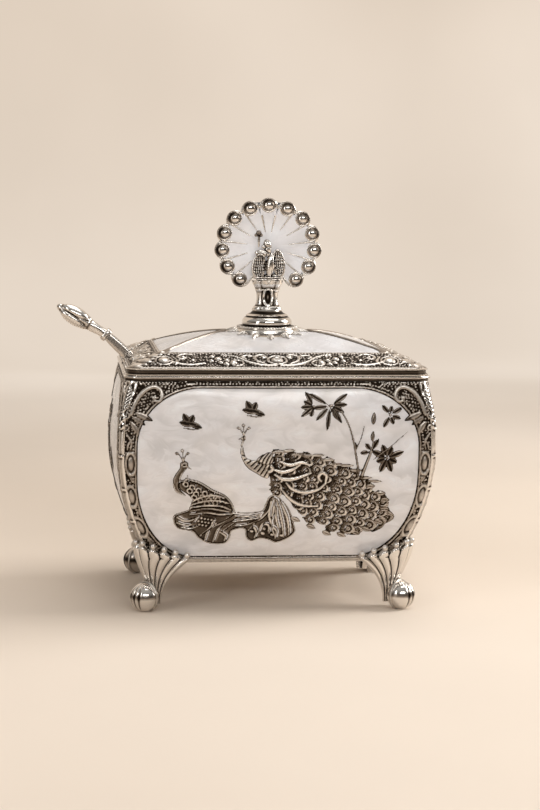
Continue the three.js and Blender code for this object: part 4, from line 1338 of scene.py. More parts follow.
def makePost(signX, signY, corner):
    z = np.linspace(body["wallBottom"], wallHigh, post["rows"])[:, None]
    s = np.linspace(-1, 1, post["across"])[None, :]
    reachX = body["halfWidth"] - drawIn(z)
    reachY = body["halfDepth"] - drawIn(z)
    legAcross = cornerLegAt(z)
    share = np.clip((z - post["leafLow"]) / (post["leafHigh"] - post["leafLow"]), 0, 1)
    width = np.sin(math.pi * share) ** 0.6 + 1e-6
    frond = np.where(share * (1 - share) > 0, np.sqrt(np.clip(1 - (s / width) ** 2, 0, 1)), 0)
    veins = 0.16 * np.cos((z - 2.2 * np.abs(s)) * 4.2) - 0.3 * bell(s, 0.14)
    hollow = np.where((z > post["leafLow"] - 1) & (z < body["wallTop"]), post["leafSink"], 0.0)
    crown = post["round"] * np.sqrt(np.clip(1 - s**2 * 0.96, 0, 1))
    crown = crown - hollow * np.clip(np.abs(s) * 2, 0, 1) + frond * (post["leafRise"] + veins)
    for place in post["ringPlaces"]:
        crown = crown + post["ringRise"] * bell(np.hypot((z - place) / 1.25, s * legAcross / 1.2) - 1, 0.3)
    for place in np.arange(*post["notches"]):
        crown = crown + post["notchRise"] * bell(z - place, 0.5)
    middle = 0.5 * legAcross * (1 + s)
    x, y, proud, deep = reachX - legAcross + middle, reachY - middle, crown / math.sqrt(2), body["wallThickness"]
    outer = cornerPoints(signX, signY, x + proud, y + proud, z)
    inner = cornerPoints(signX, signY, x - deep, y - deep, z)
    piece = closedSheet(camel(corner) + "Post", outer, inner, post["backNet"])
    markHollows(piece, 2.6, 0.52, 2)
    finish(piece, castSilver, "body", "silver", "corner_post_" + corner, sharp=50)


for signX, signY, corner in corners:
    makePost(signX, signY, corner)
print("corner posts raised")


# mouldings that run round the octagon of rim and lid

plan = {
    "cornerBulge": 0.45,
    "alongSide": 3,
    "alongCorner": 5,
}


def cornerRun(side, half, reach, chamfer, z, bulge):
    # the points past a side's end, up to the next side
    t = np.linspace(0, 1, plan["alongCorner"] + 1)[1:-1]
    lean = bulge * 4 * t * (1 - t) / math.sqrt(2)
    return onPlan(side, half + chamfer * t + lean, reach - chamfer * t + lean, z)


def octagon(inset, z, chamfer=body["lidChamfer"]):
    # points round the plan, the front first and running to the right
    ring = []
    for side in sides:
        reach = side["lidReach"] - inset
        half = reach + side["shift"] - chamfer
        ring.append(onPlan(side, half * np.linspace(-1, 1, plan["alongSide"] + 1), reach, z))
        ring.append(cornerRun(side, half, reach, chamfer, z, plan["cornerBulge"]))
    return np.concatenate(ring)


def moulding(name, profile):
    # profile: outward offset from the lid's edge and height, outer side upwards first
    return sweep(name, [octagon(-out, z) for out, z in profile], closed=True)


def spotsOn(ring, spacing, size):
    closed = np.concatenate([ring, ring[:1]])
    length = lengthsAlong(closed[:, :2])
    count = int(length[-1] / spacing)
    at = (np.arange(count) + 0.5) * length[-1] / count
    return [(*(np.interp(a, length, closed[:, i]) for i in range(3)), size) for a in at]


rim = {
    "profile": [
        (0.35, 94.0), (0.75, 94.15), (0.45, 94.6), (0.55, 94.85), (1.05, 95.05), (1.2, 95.45), (1.1, 95.85),
        (0.8, 96.0), (-3.0, 96.0), (-3.0, 94.0),
    ],
    "beadOut": 0.25,
    "beadZ": 93.45,
    "beadSize": 0.48,
    "beadSpacing": 1.28,
}


def makeRim():
    frameRing = moulding("rimFrame", rim["profile"])
    height = coordsOf(frameRing)[:, 2]
    markPatina(frameRing, 0.2 + 0.42 * np.clip((height.max() - 0.5 - height) / 0.5, 0, 1))
    finish(frameRing, castSilver, "body", "silver", "rim_frame", sharp=35)
    row = octagon(-rim["beadOut"], rim["beadZ"])
    beads = scatterBeads("rimBeads", spotsOn(row, rim["beadSpacing"], rim["beadSize"]))
    markPatina(beads, np.where(coordsOf(beads)[:, 2] > rim["beadZ"], 0.25, 0.45))
    finish(beads, castSilver, "body", "silver")


basePlate = {
    "profile": [
        (-4.0, 19.5), (0.2, 19.5), (0.55, 19.7), (0.6, 20.0), (0.25, 20.25), (0.25, 20.45), (0.5, 20.6),
        (0.5, 20.85), (0.2, 21.1),
    ],
    "alongSide": 12,
}


def makeBasePlate():
    low = body["wallBottom"]
    t = np.linspace(-1, 1, basePlate["alongSide"] + 1)
    rings = []
    for grow, z in basePlate["profile"]:
        ring = []
        for side in sides:
            reach = side["reach"] - drawIn(low) + grow
            half = reach + side["shift"] - body["cornerLeg"]
            ring.append(onPlan(side, half * t, reach + body["bow"] * swell(low) * (1 - t * t), z))
        rings.append(np.concatenate(ring))
    piece = sweep("basePlate", rings)
    markPatina(piece, 0.34)
    finish(piece, castSilver, "body", "silver", "base_plate", sharp=35)


makeRim()
makeBasePlate()
print("rim and base plate laid")


# legs: flutes that fan up from a polished ball to the corner of the base

leg = {
    "corner": 50.0,
    "footIn": 0.8,
    "topOut": 5.9,
    "ballOut": 2.3,
    "ballRadius": 5.8,
    "ballSunk": 0.15,
    "ballCreases": (27, 51, 76, 104),
    "creaseWidth": 5.5,
    "creaseDepth": 0.07,
    "ballPatinaAndShade": {-1: 0.02, 1: 0.32},  # patina in front and behind; the higher value behind is painted shadow on the balls at the back
    "collarOut": 0.12,
    "collarWire": 0.45,
    "collarBack": 0.7,
    "foot": 2.2,
    "top": 27.4,
    "leanTop": 28.0,
    "fall": 6.3,
    "wingTop": 22.0,
    "wingFoot": 3.4,
    "flutes": 10,
    "fluteDepth": 1.25,
    "lip": (1.4, 0.6),  # height and depth of the rounded tips
    "wall": 1.5,
    "tipRise": 1.9,
    "beadSize": 1.3,
    "columns": 161,
    "rows": 60,
    "backNet": (10, 16),
}


def legPoints(along, z, depth):
    # on the right front corner: the front wing runs to the left, the side wing to the back
    lean = eased(np.clip(z / leg["leanTop"], 0, 1))
    corner = leg["corner"] - leg["footIn"] + (leg["topOut"] + leg["footIn"]) * lean
    wing = leg["wingFoot"] + (leg["wingTop"] - leg["wingFoot"]) * np.clip(z / leg["wingTop"], 0, 1) ** 2
    turnIn = 1.2 * np.exp(-np.abs(along) * wing / 1.6)
    x = corner - turnIn - wing * np.clip(-along, 0, 1)
    y = corner - turnIn - wing * np.clip(along, 0, 1)
    facing = np.clip(along * wing / 1.2, -1, 1)
    nx, ny = (1 + facing) / 2, (1 - facing) / 2
    size = np.hypot(nx, ny)
    return x + depth * nx / size, y - planDifference + depth * ny / size


def makeLegShell(signX, signY, name):
    along = np.linspace(-1, 1, leg["columns"])[None, :]
    share = np.linspace(0, 1, leg["rows"])[:, None]
    flute = np.abs(np.sin(math.pi * along * leg["flutes"] / 2))
    tip = leg["top"] - leg["fall"] * np.abs(along) + leg["tipRise"] * (flute**0.8 - 0.5)
    z = leg["foot"] + (tip - leg["foot"]) * share
    swelled = leg["fluteDepth"] * (0.45 + 0.55 * share) * flute**0.75
    lipHigh, lipDeep = leg["lip"]
    roll = np.clip((tip - z) / lipHigh, 0, 1)
    depth = swelled * np.sqrt(1 - (1 - roll) ** 2) - lipDeep * (1 - roll)
    behind = -leg["wall"] * (1 + share)
    outer, inner = (cornerPoints(signX, signY, *legPoints(along, z, d), z) for d in (depth, behind))
    shell = closedSheet(name + "LegShell", outer, inner, leg["backNet"])
    markHollows(shell, 5.2, 0.16, 1)
    return shell


def makeBall(signX, signY, name, middle):
    # lobes on the outer side, with creases between them
    radius = leg["ballRadius"]
    ball = sphere(name + "Ball", middle, radius, 120, 48)
    apart = coordsOf(ball) - middle
    about = np.degrees(np.arctan2(signX * apart[:, 0], signY * apart[:, 1]))
    crease = sum(bell(about - place, leg["creaseWidth"]) for place in leg["ballCreases"])
    crease = crease * np.clip(1 - (apart[:, 2] / radius) ** 4, 0, 1)
    points = middle + apart * (1 - leg["creaseDepth"] * crease)[:, None]
    points[:, 2] = np.maximum(points[:, 2], 0)
    setCoords(ball, points)
    # painted shade: the balls at the back are darker, and a dark band just above the middle is a painted dark
    # reflection; the creases are darker too
    tone = leg["ballPatinaAndShade"][signY] + 0.5 * bell(points[:, 2] / radius - 1.12, 0.2) + 0.6 * crease
    markPatina(ball, np.clip(tone, 0, 1))
    return ball


def makeCollar(signX, signY, name, middle):
    deselectAll()
    place = middle + leg["collarBack"] * np.array([-signX, -signY, 0]) + (0, 0, 0.05)
    bpy.ops.mesh.primitive_torus_add(major_segments=48, minor_segments=10,
        major_radius=(leg["ballRadius"] + leg["collarOut"]) * mm, minor_radius=leg["collarWire"] * mm,
        location=place * mm,
        rotation=(math.radians(90), 0, math.radians(-45 * signX * signY)))
    collar = settle(take(name + "BallCollar"))
    points = coordsOf(collar)
    points[:, 2] = np.maximum(points[:, 2], 0.02)
    setCoords(collar, points)
    markPatina(collar, 0.34)
    return collar


def makeLeg(signX, signY, corner):
    name = camel(corner)
    shell = makeLegShell(signX, signY, name)
    ballAt = leg["corner"] + leg["ballOut"]
    middle = np.array([
        signX * ballAt + offsetX, signY * (ballAt - planDifference), leg["ballRadius"] - leg["ballSunk"]])
    ball = makeBall(signX, signY, name, middle)
    collar = makeCollar(signX, signY, name, middle)
    spots = []
    for k in range(leg["flutes"]):
        along = -1 + (k + 0.5) * 2 / leg["flutes"]
        top = leg["top"] - leg["fall"] * abs(along) + 0.9
        x, y = legPoints(along, top, 0.35)
        spots.append((signX * x + offsetX, signY * y, top + 0.75, leg["beadSize"]))
    beads = scatterBeads(name + "LegBeads", spots)
    markPatina(beads, 0.25)
    finish(joined(name + "Leg", [shell, collar, beads]), castSilver, "body", "silver", "leg_" + corner, sharp=60)
    finish(ball, polishedSilver, "body", "silver")


for signX, signY, corner in corners:
    makeLeg(signX, signY, corner)
print("legs fluted")


# lid: moulded band, chased slope, roof with four enamel fields between silver hips

lid = {
    "band": [
        (0.1, 96.08), (0.42, 96.2), (0.42, 96.62), (0.02, 96.8), (-0.3, 97.15), (-0.3, 97.95), (0.0, 98.3),
        (0.34, 98.42), (0.34, 98.78), (0.05, 98.95), (-2.2, 99.3), (-4.7, 97.2), (-4.7, 92.7), (-3.6, 92.7),
        (-3.5, 96.08),
    ],
    "bandTop": 98.9,
    # heights between which the band gets a painted dark reflection
    "paintedReflectionBand": (96.7, 98.35),
    "roofRise": 12.1,
    "slopeWidth": 13.5,
    "flatInset": 38.0,
    "wall": 2.0,
    "pocket": -0.75,
    "gap": 0.12,
    "enamelTop": -0.12,
    "enamelRoll": (0.25, 0.6),
    "rib": 0.8,
    "shoulder": (5.0, 6.2),
    "rowsSlope": 44,
    "rowsRoof": 34,
    "columnPitch": 0.42,
    "backNet": (7, 40),
    "enamelRows": 40,
    "enamelColumns": 60,
    "enamelNet": (8, 10),
    "liningChamfer": 2.3,
    "liningUnder": (2.6, 6.0, 12.0, 20.0, 28.0, 37.0),
    "liningOver": (37.0, 28.0, 20.0, 12.0, 6.0, 2.8),
}
roofReach = sides[0]["lidReach"]
hipWidth = lid["rib"] * math.sqrt(2)


def roofZ(inset):
    return lid["bandTop"] + lid["roofRise"] * (1 - np.clip(1 - inset / roofReach, 0, 1) ** 1.5)


def slopeOrnament(sheet, half, long):
    # u runs along the side and z up the slope, from the band to the enamel
    sheet["ground"][:] = 1.0
    stroke(sheet, [(-half, 0.5), (half, 0.5)], [0.35], 0.3, steps=1)
    for z, top in ((1.35, 0.26), (lid["slopeWidth"] - 1.2, 0.3)):
        beadRow(sheet, [(-half, z), (0, z), (half, z)], 1.25, 0.45, top)
    oval(sheet, (0, 6.6), 2.6, 2.3, 0.85)
    hoop(sheet, (0, 6.6), 3.7, 3.3, 0.5, 0.6)
    hoop(sheet, (0, 6.6), 1.5, 1.3, 0.28, 1.0)
    berries = [
        (17.6, 4.6, 1.5), (20.6, 3.4, 1.2), (20.2, 6.2, 1.25), (23.6, 7.4, 1.5), (22.8, 4.4, 1.1),
        (26.0, 9.2, 1.1), (26.4, 5.8, 1.0),
    ]
    hipBerries = [(3.4, 2.8, 0.95), (4.8, 5.0, 0.9), (6.4, 7.4, 0.95), (8.0, 9.6, 0.9), (9.8, 11.2, 0.85)]
    scrolls = [
        # place that the points count from, the points, half widths, height
        (0, [(1.0, 2.4), (6.0, 2.6), (11.5, 5.0), (16.5, 9.4), (22.0, 11.2)], [0.6, 0.85, 0.6, 0.4], 0.6),
        (0, [(4.8, 3.4), (8.2, 6.2), (8.6, 9.6), (5.8, 11.0), (4.2, 9.4), (5.6, 8.2)], [0.5, 0.7, 0.6, 0.45], 0.6),
        (0, [(8.8, 9.6), (12.0, 10.6), (14.0, 9.2), (12.6, 7.9)], [0.4, 0.6, 0.4], 0.5),
        (half - 10.8, [(3.4, 3.0), (5.8, 6.4), (3.2, 10.0)], [0.35, 0.75, 0.35], 0.65),
        (half - 10.8, [(-4.4, 2.8), (-5.2, 6.0), (-3.4, 9.6)], [0.35, 0.65, 0.35], 0.6),
    ]
    small = [(5.5, 9.4, 0.75, 0.7, 0.7)]
    if long:
        start = half - 27.0
        scrolls += [
            (start, [(0, 4.0), (5, 2.8), (10, 3.6), (15, 6.6), (17.6, 9.6)], [0.4, 0.75, 0.5], 0.6),
            (start, [(4.5, 10.8), (8.0, 11.4), (10.6, 9.6), (9.2, 7.4), (7.2, 8.6)], [0.35, 0.65, 0.45], 0.55),
        ]
        small += [(start + 8.4, 9.4, 0.75, 0.7, 0.65), (start + 4.6, 6.8, 0.8, 0.8, 0.6)]
    for sign in (-1, 1):
        for start, points, halves, top in scrolls:
            stroke(sheet, [(sign * (start + u), z) for u, z in points], halves, top)
        for u, z, halfU, halfZ, top in small:
            oval(sheet, (sign * u, z), halfU, halfZ, top)
        dots(sheet, [(sign * u, z, size) for u, z, size in berries if u < half - 12], 0.95, foot=-0.2)
        dots(sheet, [(sign * (half - u), z, size) for u, z, size in hipBerries], 0.75, foot=-0.2)
        hoop(sheet, (sign * 16.2, 4.4), 2.5, 2.2, 0.4, 0.5)
        oval(sheet, (sign * (half - 10.8), 6.2), 2.5, 2.4, 1.2, foot=-0.2)
        hoop(sheet, (sign * (half - 10.8), 6.2), 3.4, 3.3, 0.45, 0.5)


def lidSheet(side):
    half = side["lidReach"] + side["shift"]
    sheet = newSheet(-half - 1, -0.5, half + 1, 42.0)
    slopeOrnament(sheet, half - 4.0, side["long"])
    u, inset = np.meshgrid(sheet["u"], sheet["z"])
    hip = half - inset - np.abs(u)
    above = inset - lid["slopeWidth"]
    fromRidge = side["lidReach"] - inset - (2 if side["long"] else planDifference + 3)
    shoulderUp, shoulderAcross = lid["shoulder"]
    shoulder = np.hypot(
        np.clip(shoulderUp - above, 0, shoulderUp), np.clip(shoulderAcross - hip, 0, shoulderAcross)) < 5.3
    field = (above > 0) & (hip > hipWidth) & (fromRidge > 0) & shoulder
    height = np.where(above < 0, sheet["height"], np.where(field, lid["pocket"], 0.0))
    ribRound = 0.34 * bell(above + 0.35, 0.4)
    hipRound = np.where(above > -0.5, 0.3 * bell(hip, 0.75), 0)
    height = np.maximum(height, np.where(above < 0.3, ribRound, hipRound - 9 * (hipRound < 0.02)))
    sheet["height"] = height
    sheet["ground"] = np.where((above < 0) & (height < 0.12), 1.0, 0.0)
    tarnish(sheet, 0.9, height > lid["pocket"] + 0.2)
    sheet["patina"] = np.where(above < 0, 0.39 + 0.75 * (sheet["patina"] - evenPatina), 0.46)
    return sheet


def makeLidRoof():
    slope = np.linspace(0.0, lid["slopeWidth"] + 0.6, lid["rowsSlope"])
    roof = np.linspace(lid["slopeWidth"] + 1.3, roofReach - 0.8, lid["rowsRoof"])
    sheets = {side["long"]: lidSheet(side) for side in sides[:2]}
    rows = []
    for inset in np.concatenate([slope, roof]):
        row = []
        chamfer = max(body["lidChamfer"] * (1 - inset / 27.0), 0.3)
        bulge = plan["cornerBulge"] * min(1, chamfer / body["lidChamfer"])
        berry = np.abs(np.sin(inset * 0.8)) ** 0.8 if inset < lid["slopeWidth"] else 0.3
        for side in sides:
            sheet = sheets[side["long"]]
            reach = side["lidReach"] - inset
            half = reach + side["shift"] - chamfer
            u = half * np.linspace(-1, 1, int(2 * (side["lidReach"] + side["shift"]) / lid["columnPitch"]))
            fields = [sampled(sheet, key, u, inset) for key in ("height", "patina", "ground")]
            row.append(np.column_stack([onPlan(side, u, reach, roofZ(inset)), *fields]))
            steps = np.linspace(0, 1, plan["alongCorner"] + 1)[1:-1]
            fields = [3.6 * berry * steps * (1 - steps), 0.62 - 0.45 * berry + 0 * steps, 0 * steps]
            row.append(np.column_stack([cornerRun(side, half, reach, chamfer, roofZ(inset), bulge), *fields]))
        rows.append(np.concatenate(row))
    grid = np.array(rows)
    base = grid[..., :3]
    outer = base + normalsOf(base, wrap=True) * grid[..., 3:4]
    outer[0] = base[0]
    inner = base - (0, 0, lid["wall"] * 0.8)
    inner[0] = base[0] - (0, 0, 0.3)
    piece = closedSheet("lidRoof", outer, inner, lid["backNet"], wrap=True)
    markSheet(piece, grid[..., 4], grid[..., 5])
    finish(piece, castSilver, "lid", "silver", "lid_shell", sharp=50)


def makeLidEnamel(side):
    high = 2.4 if side["long"] else planDifference + 3.4
    low = side["lidReach"] - lid["slopeWidth"] - lid["gap"]
    out = (low + (high - low) * np.linspace(0, 1, lid["enamelRows"]) ** 1.3)[:, None]
    fall = low - out
    up, across = lid["shoulder"]
    rounded = across - np.sqrt(np.clip(across**2 - (up - fall) ** 2 * 1.1, 0, None)) - 0.2
    half = out + side["shift"] - hipWidth - 0.15 - np.where(fall < up, rounded, 0)
    u = half * np.sin(np.linspace(-math.pi / 2, math.pi / 2, lid["enamelColumns"]))[None, :]
    base = onPlan(side, u, out, roofZ(np.minimum(side["lidReach"] - out, lid["flatInset"])))
    normal = normalsOf(base)
    edge = np.minimum(half - np.abs(u), np.minimum(fall, out - high))
    face = base + normal * (lid["enamelTop"] - rolled(edge, *lid["enamelRoll"]))[..., None]
    back = base + normal * (lid["pocket"] + 0.06)
    piece = closedSheet("lidEnamel" + side["name"].capitalize(), face, back, lid["enamelNet"])
    finish(piece, pearl, "lid", "enamel", "lid_enamel_" + side["name"], sharp=40)


notch = {
    "place": (-66, 0, 95.4),
    "size": (30, 6.6, 8.6),
    "round": 1.6,
}


def cutNotch(piece):
    # room for the spoon's handle on the left
    deselectAll()
    x, y, z = notch["place"]
    bpy.ops.mesh.primitive_cube_add(
        size=1, location=((x + offsetX) * mm, y * mm, z * mm), scale=[c * mm for c in notch["size"]])
    cutter = settle(take("notchCutter"))
    bpy.ops.object.mode_set(mode="EDIT")
    bpy.ops.mesh.select_all(action="SELECT")
    bpy.ops.mesh.bevel(offset=notch["round"] * mm, segments=4)
    bpy.ops.object.mode_set(mode="OBJECT")
    modifier = piece.modifiers.new("notch", "BOOLEAN")
    modifier.operation, modifier.object, modifier.solver = "DIFFERENCE", cutter, "MANIFOLD"
    applyAll(piece)
    bpy.data.objects.remove(cutter)


def makeLidBand():
    band = moulding("lidBand", lid["band"])
    cutNotch(band)
    height = coordsOf(band)[:, 2]
    low, high = lid["paintedReflectionBand"]
    # painted reflection: the band's middle is made dark, standing in for the dark surroundings that the polished band
    # mirrors
    markPatina(band, np.where((height > low) & (height < high), 0.66, 0.2))
    finish(band, polishedSilver, "lid", "silver", sharp=35)
    levels = [(inset, lid["wall"]) for inset in lid["liningUnder"]]
    levels += [(inset, lid["wall"] + 0.5) for inset in lid["liningOver"]]
    rings = [octagon(inset, roofZ(inset) - down, lid["liningChamfer"]) for inset, down in levels]
    lining = sweep("lidLining", rings, closed=True)
    markPatina(lining, 0.4)
    finish(lining, innerSilver, "lid", "silver", sharp=35)


makeLidRoof()
for side in sides:
    makeLidEnamel(side)
makeLidBand()
print("lid roofed")


# turned work: seat and base of the finial, screws and their bosses

def turnedPiece(name, profile, x=0.0, y=0.0, count=72):
    rings = [[(r * math.cos(a) + x + offsetX, r * math.sin(a) + y, z) for a in turns(count)] for r, z in profile]
    return sweep(name, rings)


finial = {
    "seat": [(9.0, 107.6), (13.2, 107.8), (13.4, 108.2), (13.4, 111.1), (13.1, 111.5), (12.6, 111.6), (2.0, 111.6)],
    "base": [
        (4.0, 111.62), (12.2, 111.62), (12.45, 111.85), (12.4, 112.2), (11.9, 112.5), (10.6, 112.7), (10.1, 113.0),
        (10.35, 113.7), (10.45, 114.5), (10.2, 115.3), (9.5, 116.1), (8.6, 116.6), (8.9, 117.0), (8.3, 117.5),
        (7.0, 117.9), (6.2, 118.7), (5.9, 119.5),
    ],
    "leafCount": 14,
    "leafReach": 4.2,
    "leafStart": 12.9,
    "leafTurns": ((0.0, 1.0), (0.5, 0.55), (-0.5, 0.55)),  # sideways share and length
    "leafPatina": 0.26,
    "seatRadius": 13.2,
    "flangeBeads": 60,
    "flangeRadius": 12.15,
    "flangeZ": 112.35,
    "flangeBeadSize": 0.42,
    "stemLow": 119.2,
    "stemHigh": 131.6,
    "stemWidth": 5.4,
    "stemDepth": 3.7,
    "stemRings": 60,
    "stemAround": 96,
    "hollowZ": 124.6,
    "hollowHalf": (1.9, 2.6),
    "fanMiddle": 145.5,
    "fanAcross": 16.9,
    "fanUp": 14.0,
    "fanRows": 46,
    "fanNet": (4, 26),
    "lobeCount": 13,
    "lobeColumns": 20,
    "lobeStep": 23.75,
    "lobeAcross": 18.3,
    "lobeUp": 16.1,
    "lobeRound": 4.05,
    "wireY": 0.75,
    "wireInset": -0.42,
    "wires": (0.45, 0.4),  # radius in front and behind
    "ribY": -1.12,
    "ribRadii": [0.5, 0.38, 0.28, 0.16],
    "beadSize": 2.55,
    "backBeadSize": 1.9,
    "beadOut": 1.0,
    "beadY": -1.15,
    "backBeadY": 0.8,
    "beadFlat": 0.82,
    "beadCollar": 0.18,
    "enamelFront": -1.05,
}


def lobeAngle(i):
    return math.radians(90 - (i - (finial["lobeCount"] - 1) / 2) * finial["lobeStep"])


def lobeCentre(i, grow=0.0):
    a = lobeAngle(i)
    return np.array([(finial["lobeAcross"] + grow) * math.cos(a), (finial["lobeUp"] + grow) * math.sin(a)])


def fanReach(angle, grow=0.0):
    # how far the scalloped outline stands from the middle in a direction
    way = np.array([math.cos(angle), math.sin(angle)])
    best = 1 / math.hypot(way[0] / (finial["fanAcross"] + grow), way[1] / (finial["fanUp"] + grow))
    r = finial["lobeRound"] + grow
    for i in range(finial["lobeCount"]):
        centre = lobeCentre(i)
        along = float(centre @ way)
        beside = float(centre @ centre) - along**2
        if along > 0 and beside < r * r:
            best = max(best, along + math.sqrt(r * r - beside))
    return best


def onFan(reach, angle, y):
    return (reach * math.cos(angle) + offsetX, y, reach * math.sin(angle) + finial["fanMiddle"])


def fanSheet(name, frontSide, face, back, grow, relief):
    # a scalloped plate from its middle outwards, its chased side to the front or the back
    angles = turns(finial["lobeCount"] * finial["lobeColumns"])
    if not frontSide:
        angles = angles[::-1]
    reach = np.array([fanReach(a, grow) for a in angles])[None, :]
    share = np.linspace(1.0, 0.02, finial["fanRows"])[:, None]
    across = share * reach
    x = across * np.cos(angles)[None, :] + offsetX
    z = across * np.sin(angles)[None, :] + finial["fanMiddle"]
    place = (np.pi / 2 - angles[None, :]) / math.radians(finial["lobeStep"])
    proud = relief(share, place, across)
    outer = np.stack([x, face - proud if frontSide else face + proud, z], axis=-1)
    inner = np.stack([x, back + 0 * x, z], axis=-1)
    return closedSheet(name, outer[::-1], inner[::-1], finial["fanNet"], wrap=True, capStart=True)


def makeFinialBase():
    leaves = []
    for k in range(finial["leafCount"]):
        angle = 2 * math.pi * (k + 0.5) / finial["leafCount"]
        way = np.array([math.cos(angle), math.sin(angle)])
        beside = np.array([-way[1], way[0]])
        for turn, length in finial["leafTurns"]:
            reach = finial["leafReach"] * length
            line = []
            for s in np.linspace(0, 1, 6):
                x, y = way * (finial["leafStart"] + reach * s) + beside * reach * turn * s
                inset = roofReach - max(abs(y), abs(x) - planDifference)
                z = roofZ(min(inset, lid["flatInset"])) + 0.1 + 0.75 * (1 - s) ** 2
                line.append((x + offsetX, y, z))
            leaves.append(tube("seatLeaf", line, [0.7, 0.95, 0.75, 0.25]))
    whole = joined("lidSeat", [turnedPiece("lidSeat", finial["seat"])] + leaves)
    markHollows(whole, 1.8, 0.46, 1)
    points = coordsOf(whole)
    onLeaf = np.clip(np.hypot(points[:, 0] - offsetX, points[:, 1]) - finial["seatRadius"], 0, 1)
    markPatina(whole, patinaOf(whole) + finial["leafPatina"] * onLeaf)
    finish(whole, castSilver, "lid", "silver", sharp=50)
    base = turnedPiece("finialBase", finial["base"], count=96)
    markHollows(base, 1.2, 0.36, 1)
    finish(base, polishedSilver, "lid", "silver", "finial_base", sharp=60)
    r, z, size = (finial[k] for k in ("flangeRadius", "flangeZ", "flangeBeadSize"))
    spots = [(r * math.cos(a) + offsetX, r * math.sin(a), z, size) for a in turns(finial["flangeBeads"])]
    beads = scatterBeads("flangeBeads", spots)
    markPatina(beads, 0.3)
    finish(beads, castSilver, "lid", "silver")


def makeStem():
    # a waisted stem with scrolls at its shoulders and a dark oval hollow in front and behind
    a = turns(finial["stemAround"])
    x, y = np.cos(a), np.sin(a)
    hollowAcross, hollowUp = finial["hollowHalf"]
    rings = []
    for s in np.linspace(0, 1, finial["stemRings"]):
        z = finial["stemLow"] + (finial["stemHigh"] - finial["stemLow"]) * s
        waist = 1 - 0.2 * math.sin(math.pi * min(s * 1.15, 1))
        waist += 0.22 * max(0, s - 0.72) / 0.28 + 0.18 * max(0, 0.15 - s) / 0.15
        dip = np.hypot(x * finial["stemWidth"] / hollowAcross, (z - finial["hollowZ"]) / hollowUp)
        grow = 0.22 * np.abs(np.sin(3 * a)) + 0.3 * bell(s - 0.68, 0.05) + 0.35 * bell(s - 0.1, 0.05)
        grow = grow - np.exp(-(dip**4)) + 0.45 * bell(dip - 1.25, 0.2)
        across, deep = (finial["stemWidth"] * waist + grow) * x, (finial["stemDepth"] * waist + grow) * y
        rings.append(np.column_stack([across + offsetX, deep, z + 0 * x]))
    stem = sweep("finialStem", rings)
    markHollows(stem, 2.6, 0.4, 2)
    finish(stem, castSilver, "lid", "silver", "finial_stem", sharp=60)


def makeFan():
    def pillow(share, place, across):
        between = np.abs(np.sin(math.pi * (place + 0.5)))
        sunk = np.clip((share - 0.25) / 0.5, 0, 1)
        return 0.35 * between**0.7 * sunk - 0.25 * sunk - 0.4 * np.exp(-(1 - share) * across.max() / 0.5)

    def flutes(share, place, across):
        ridge = 0.45 * np.abs(np.cos(math.pi * place)) ** 0.8
        inside = np.clip(share * 1.6 - 0.3, 0, 1) * np.clip((1 - share) * 12, 0, 1)
        return ridge * inside + 0.25 * bell(share - 0.34, 0.03)

    enamelPiece = fanSheet("fanEnamel", True, finial["enamelFront"], -0.3, -0.55, pillow)
    finish(enamelPiece, fanPearl, "lid", "enamel", "fan_enamel", sharp=50)
    parts = [fanSheet("fanPlate", False, 0.85, -0.28, -0.1, flutes)]
    edge = [(fanReach(a, finial["wireInset"]), a) for a in turns(finial["lobeCount"] * 24)]
    for sign, radius in zip((-1, 1), finial["wires"]):
        line = [onFan(reach, a, sign * finial["wireY"]) for reach, a in edge]
        parts.append(tube("fanWire", line, [radius], sides=10, closed=True))
    for i in range(finial["lobeCount"] + 1):
        a = lobeAngle(i - 0.5)
        reach = fanReach(a, -0.8)
        line = [onFan(reach * s, a, finial["ribY"] + 0.12 * (1 - s)) for s in np.linspace(1.0, 0.46, 6)]
        parts.append(tube("fanRib", line, finial["ribRadii"]))
    whole = joined("fanFrame", parts)
    markHollows(whole, 1.6, 0.56, 1)
    finish(whole, castSilver, "lid", "silver", "fan_frame", sharp=60)


def makeFanBeads():
    size, y = finial["beadSize"], finial["beadY"]
    around = size + finial["beadCollar"]
    centres = np.array([lobeCentre(i, finial["beadOut"]) for i in range(finial["lobeCount"])])
    centres = centres + (offsetX, finial["fanMiddle"])
    beads = []
    for x, z in centres:
        for deep, radius in ((y, size), (finial["backBeadY"], finial["backBeadSize"])):
            beads.append(sphere("fanBead", (x, deep, z), radius, 32, 20, scale=(1, finial["beadFlat"], 1)))
        collar = [(x + around * math.cos(a), y, z + around * math.sin(a)) for a in turns(28)]
        beads.append(tube("fanBeadCollar", collar, [0.42], closed=True))
    whole = joined("fanBeads", beads)
    points = coordsOf(whole)
    apart = points[:, None, (0, 2)] - centres[None]
    nearest = np.linalg.norm(apart, axis=2).argmin(axis=1)
    away = apart[np.arange(len(points)), nearest]
    outward = centres[nearest] - (offsetX, finial["fanMiddle"])
    out = (away * outward).sum(1) / np.linalg.norm(outward, axis=1)
    share = np.linalg.norm(away, axis=1) / size
    cup = np.clip((share - 0.52) / 0.2, 0, 1) * np.clip((1.02 - share) / 0.12, 0, 1)
    markPatina(whole, 0.12 + 0.34 * np.clip(0.15 + out / 2.2, 0, 1) + 0.36 * cup)
    finish(whole, polishedSilver, "lid", "silver")


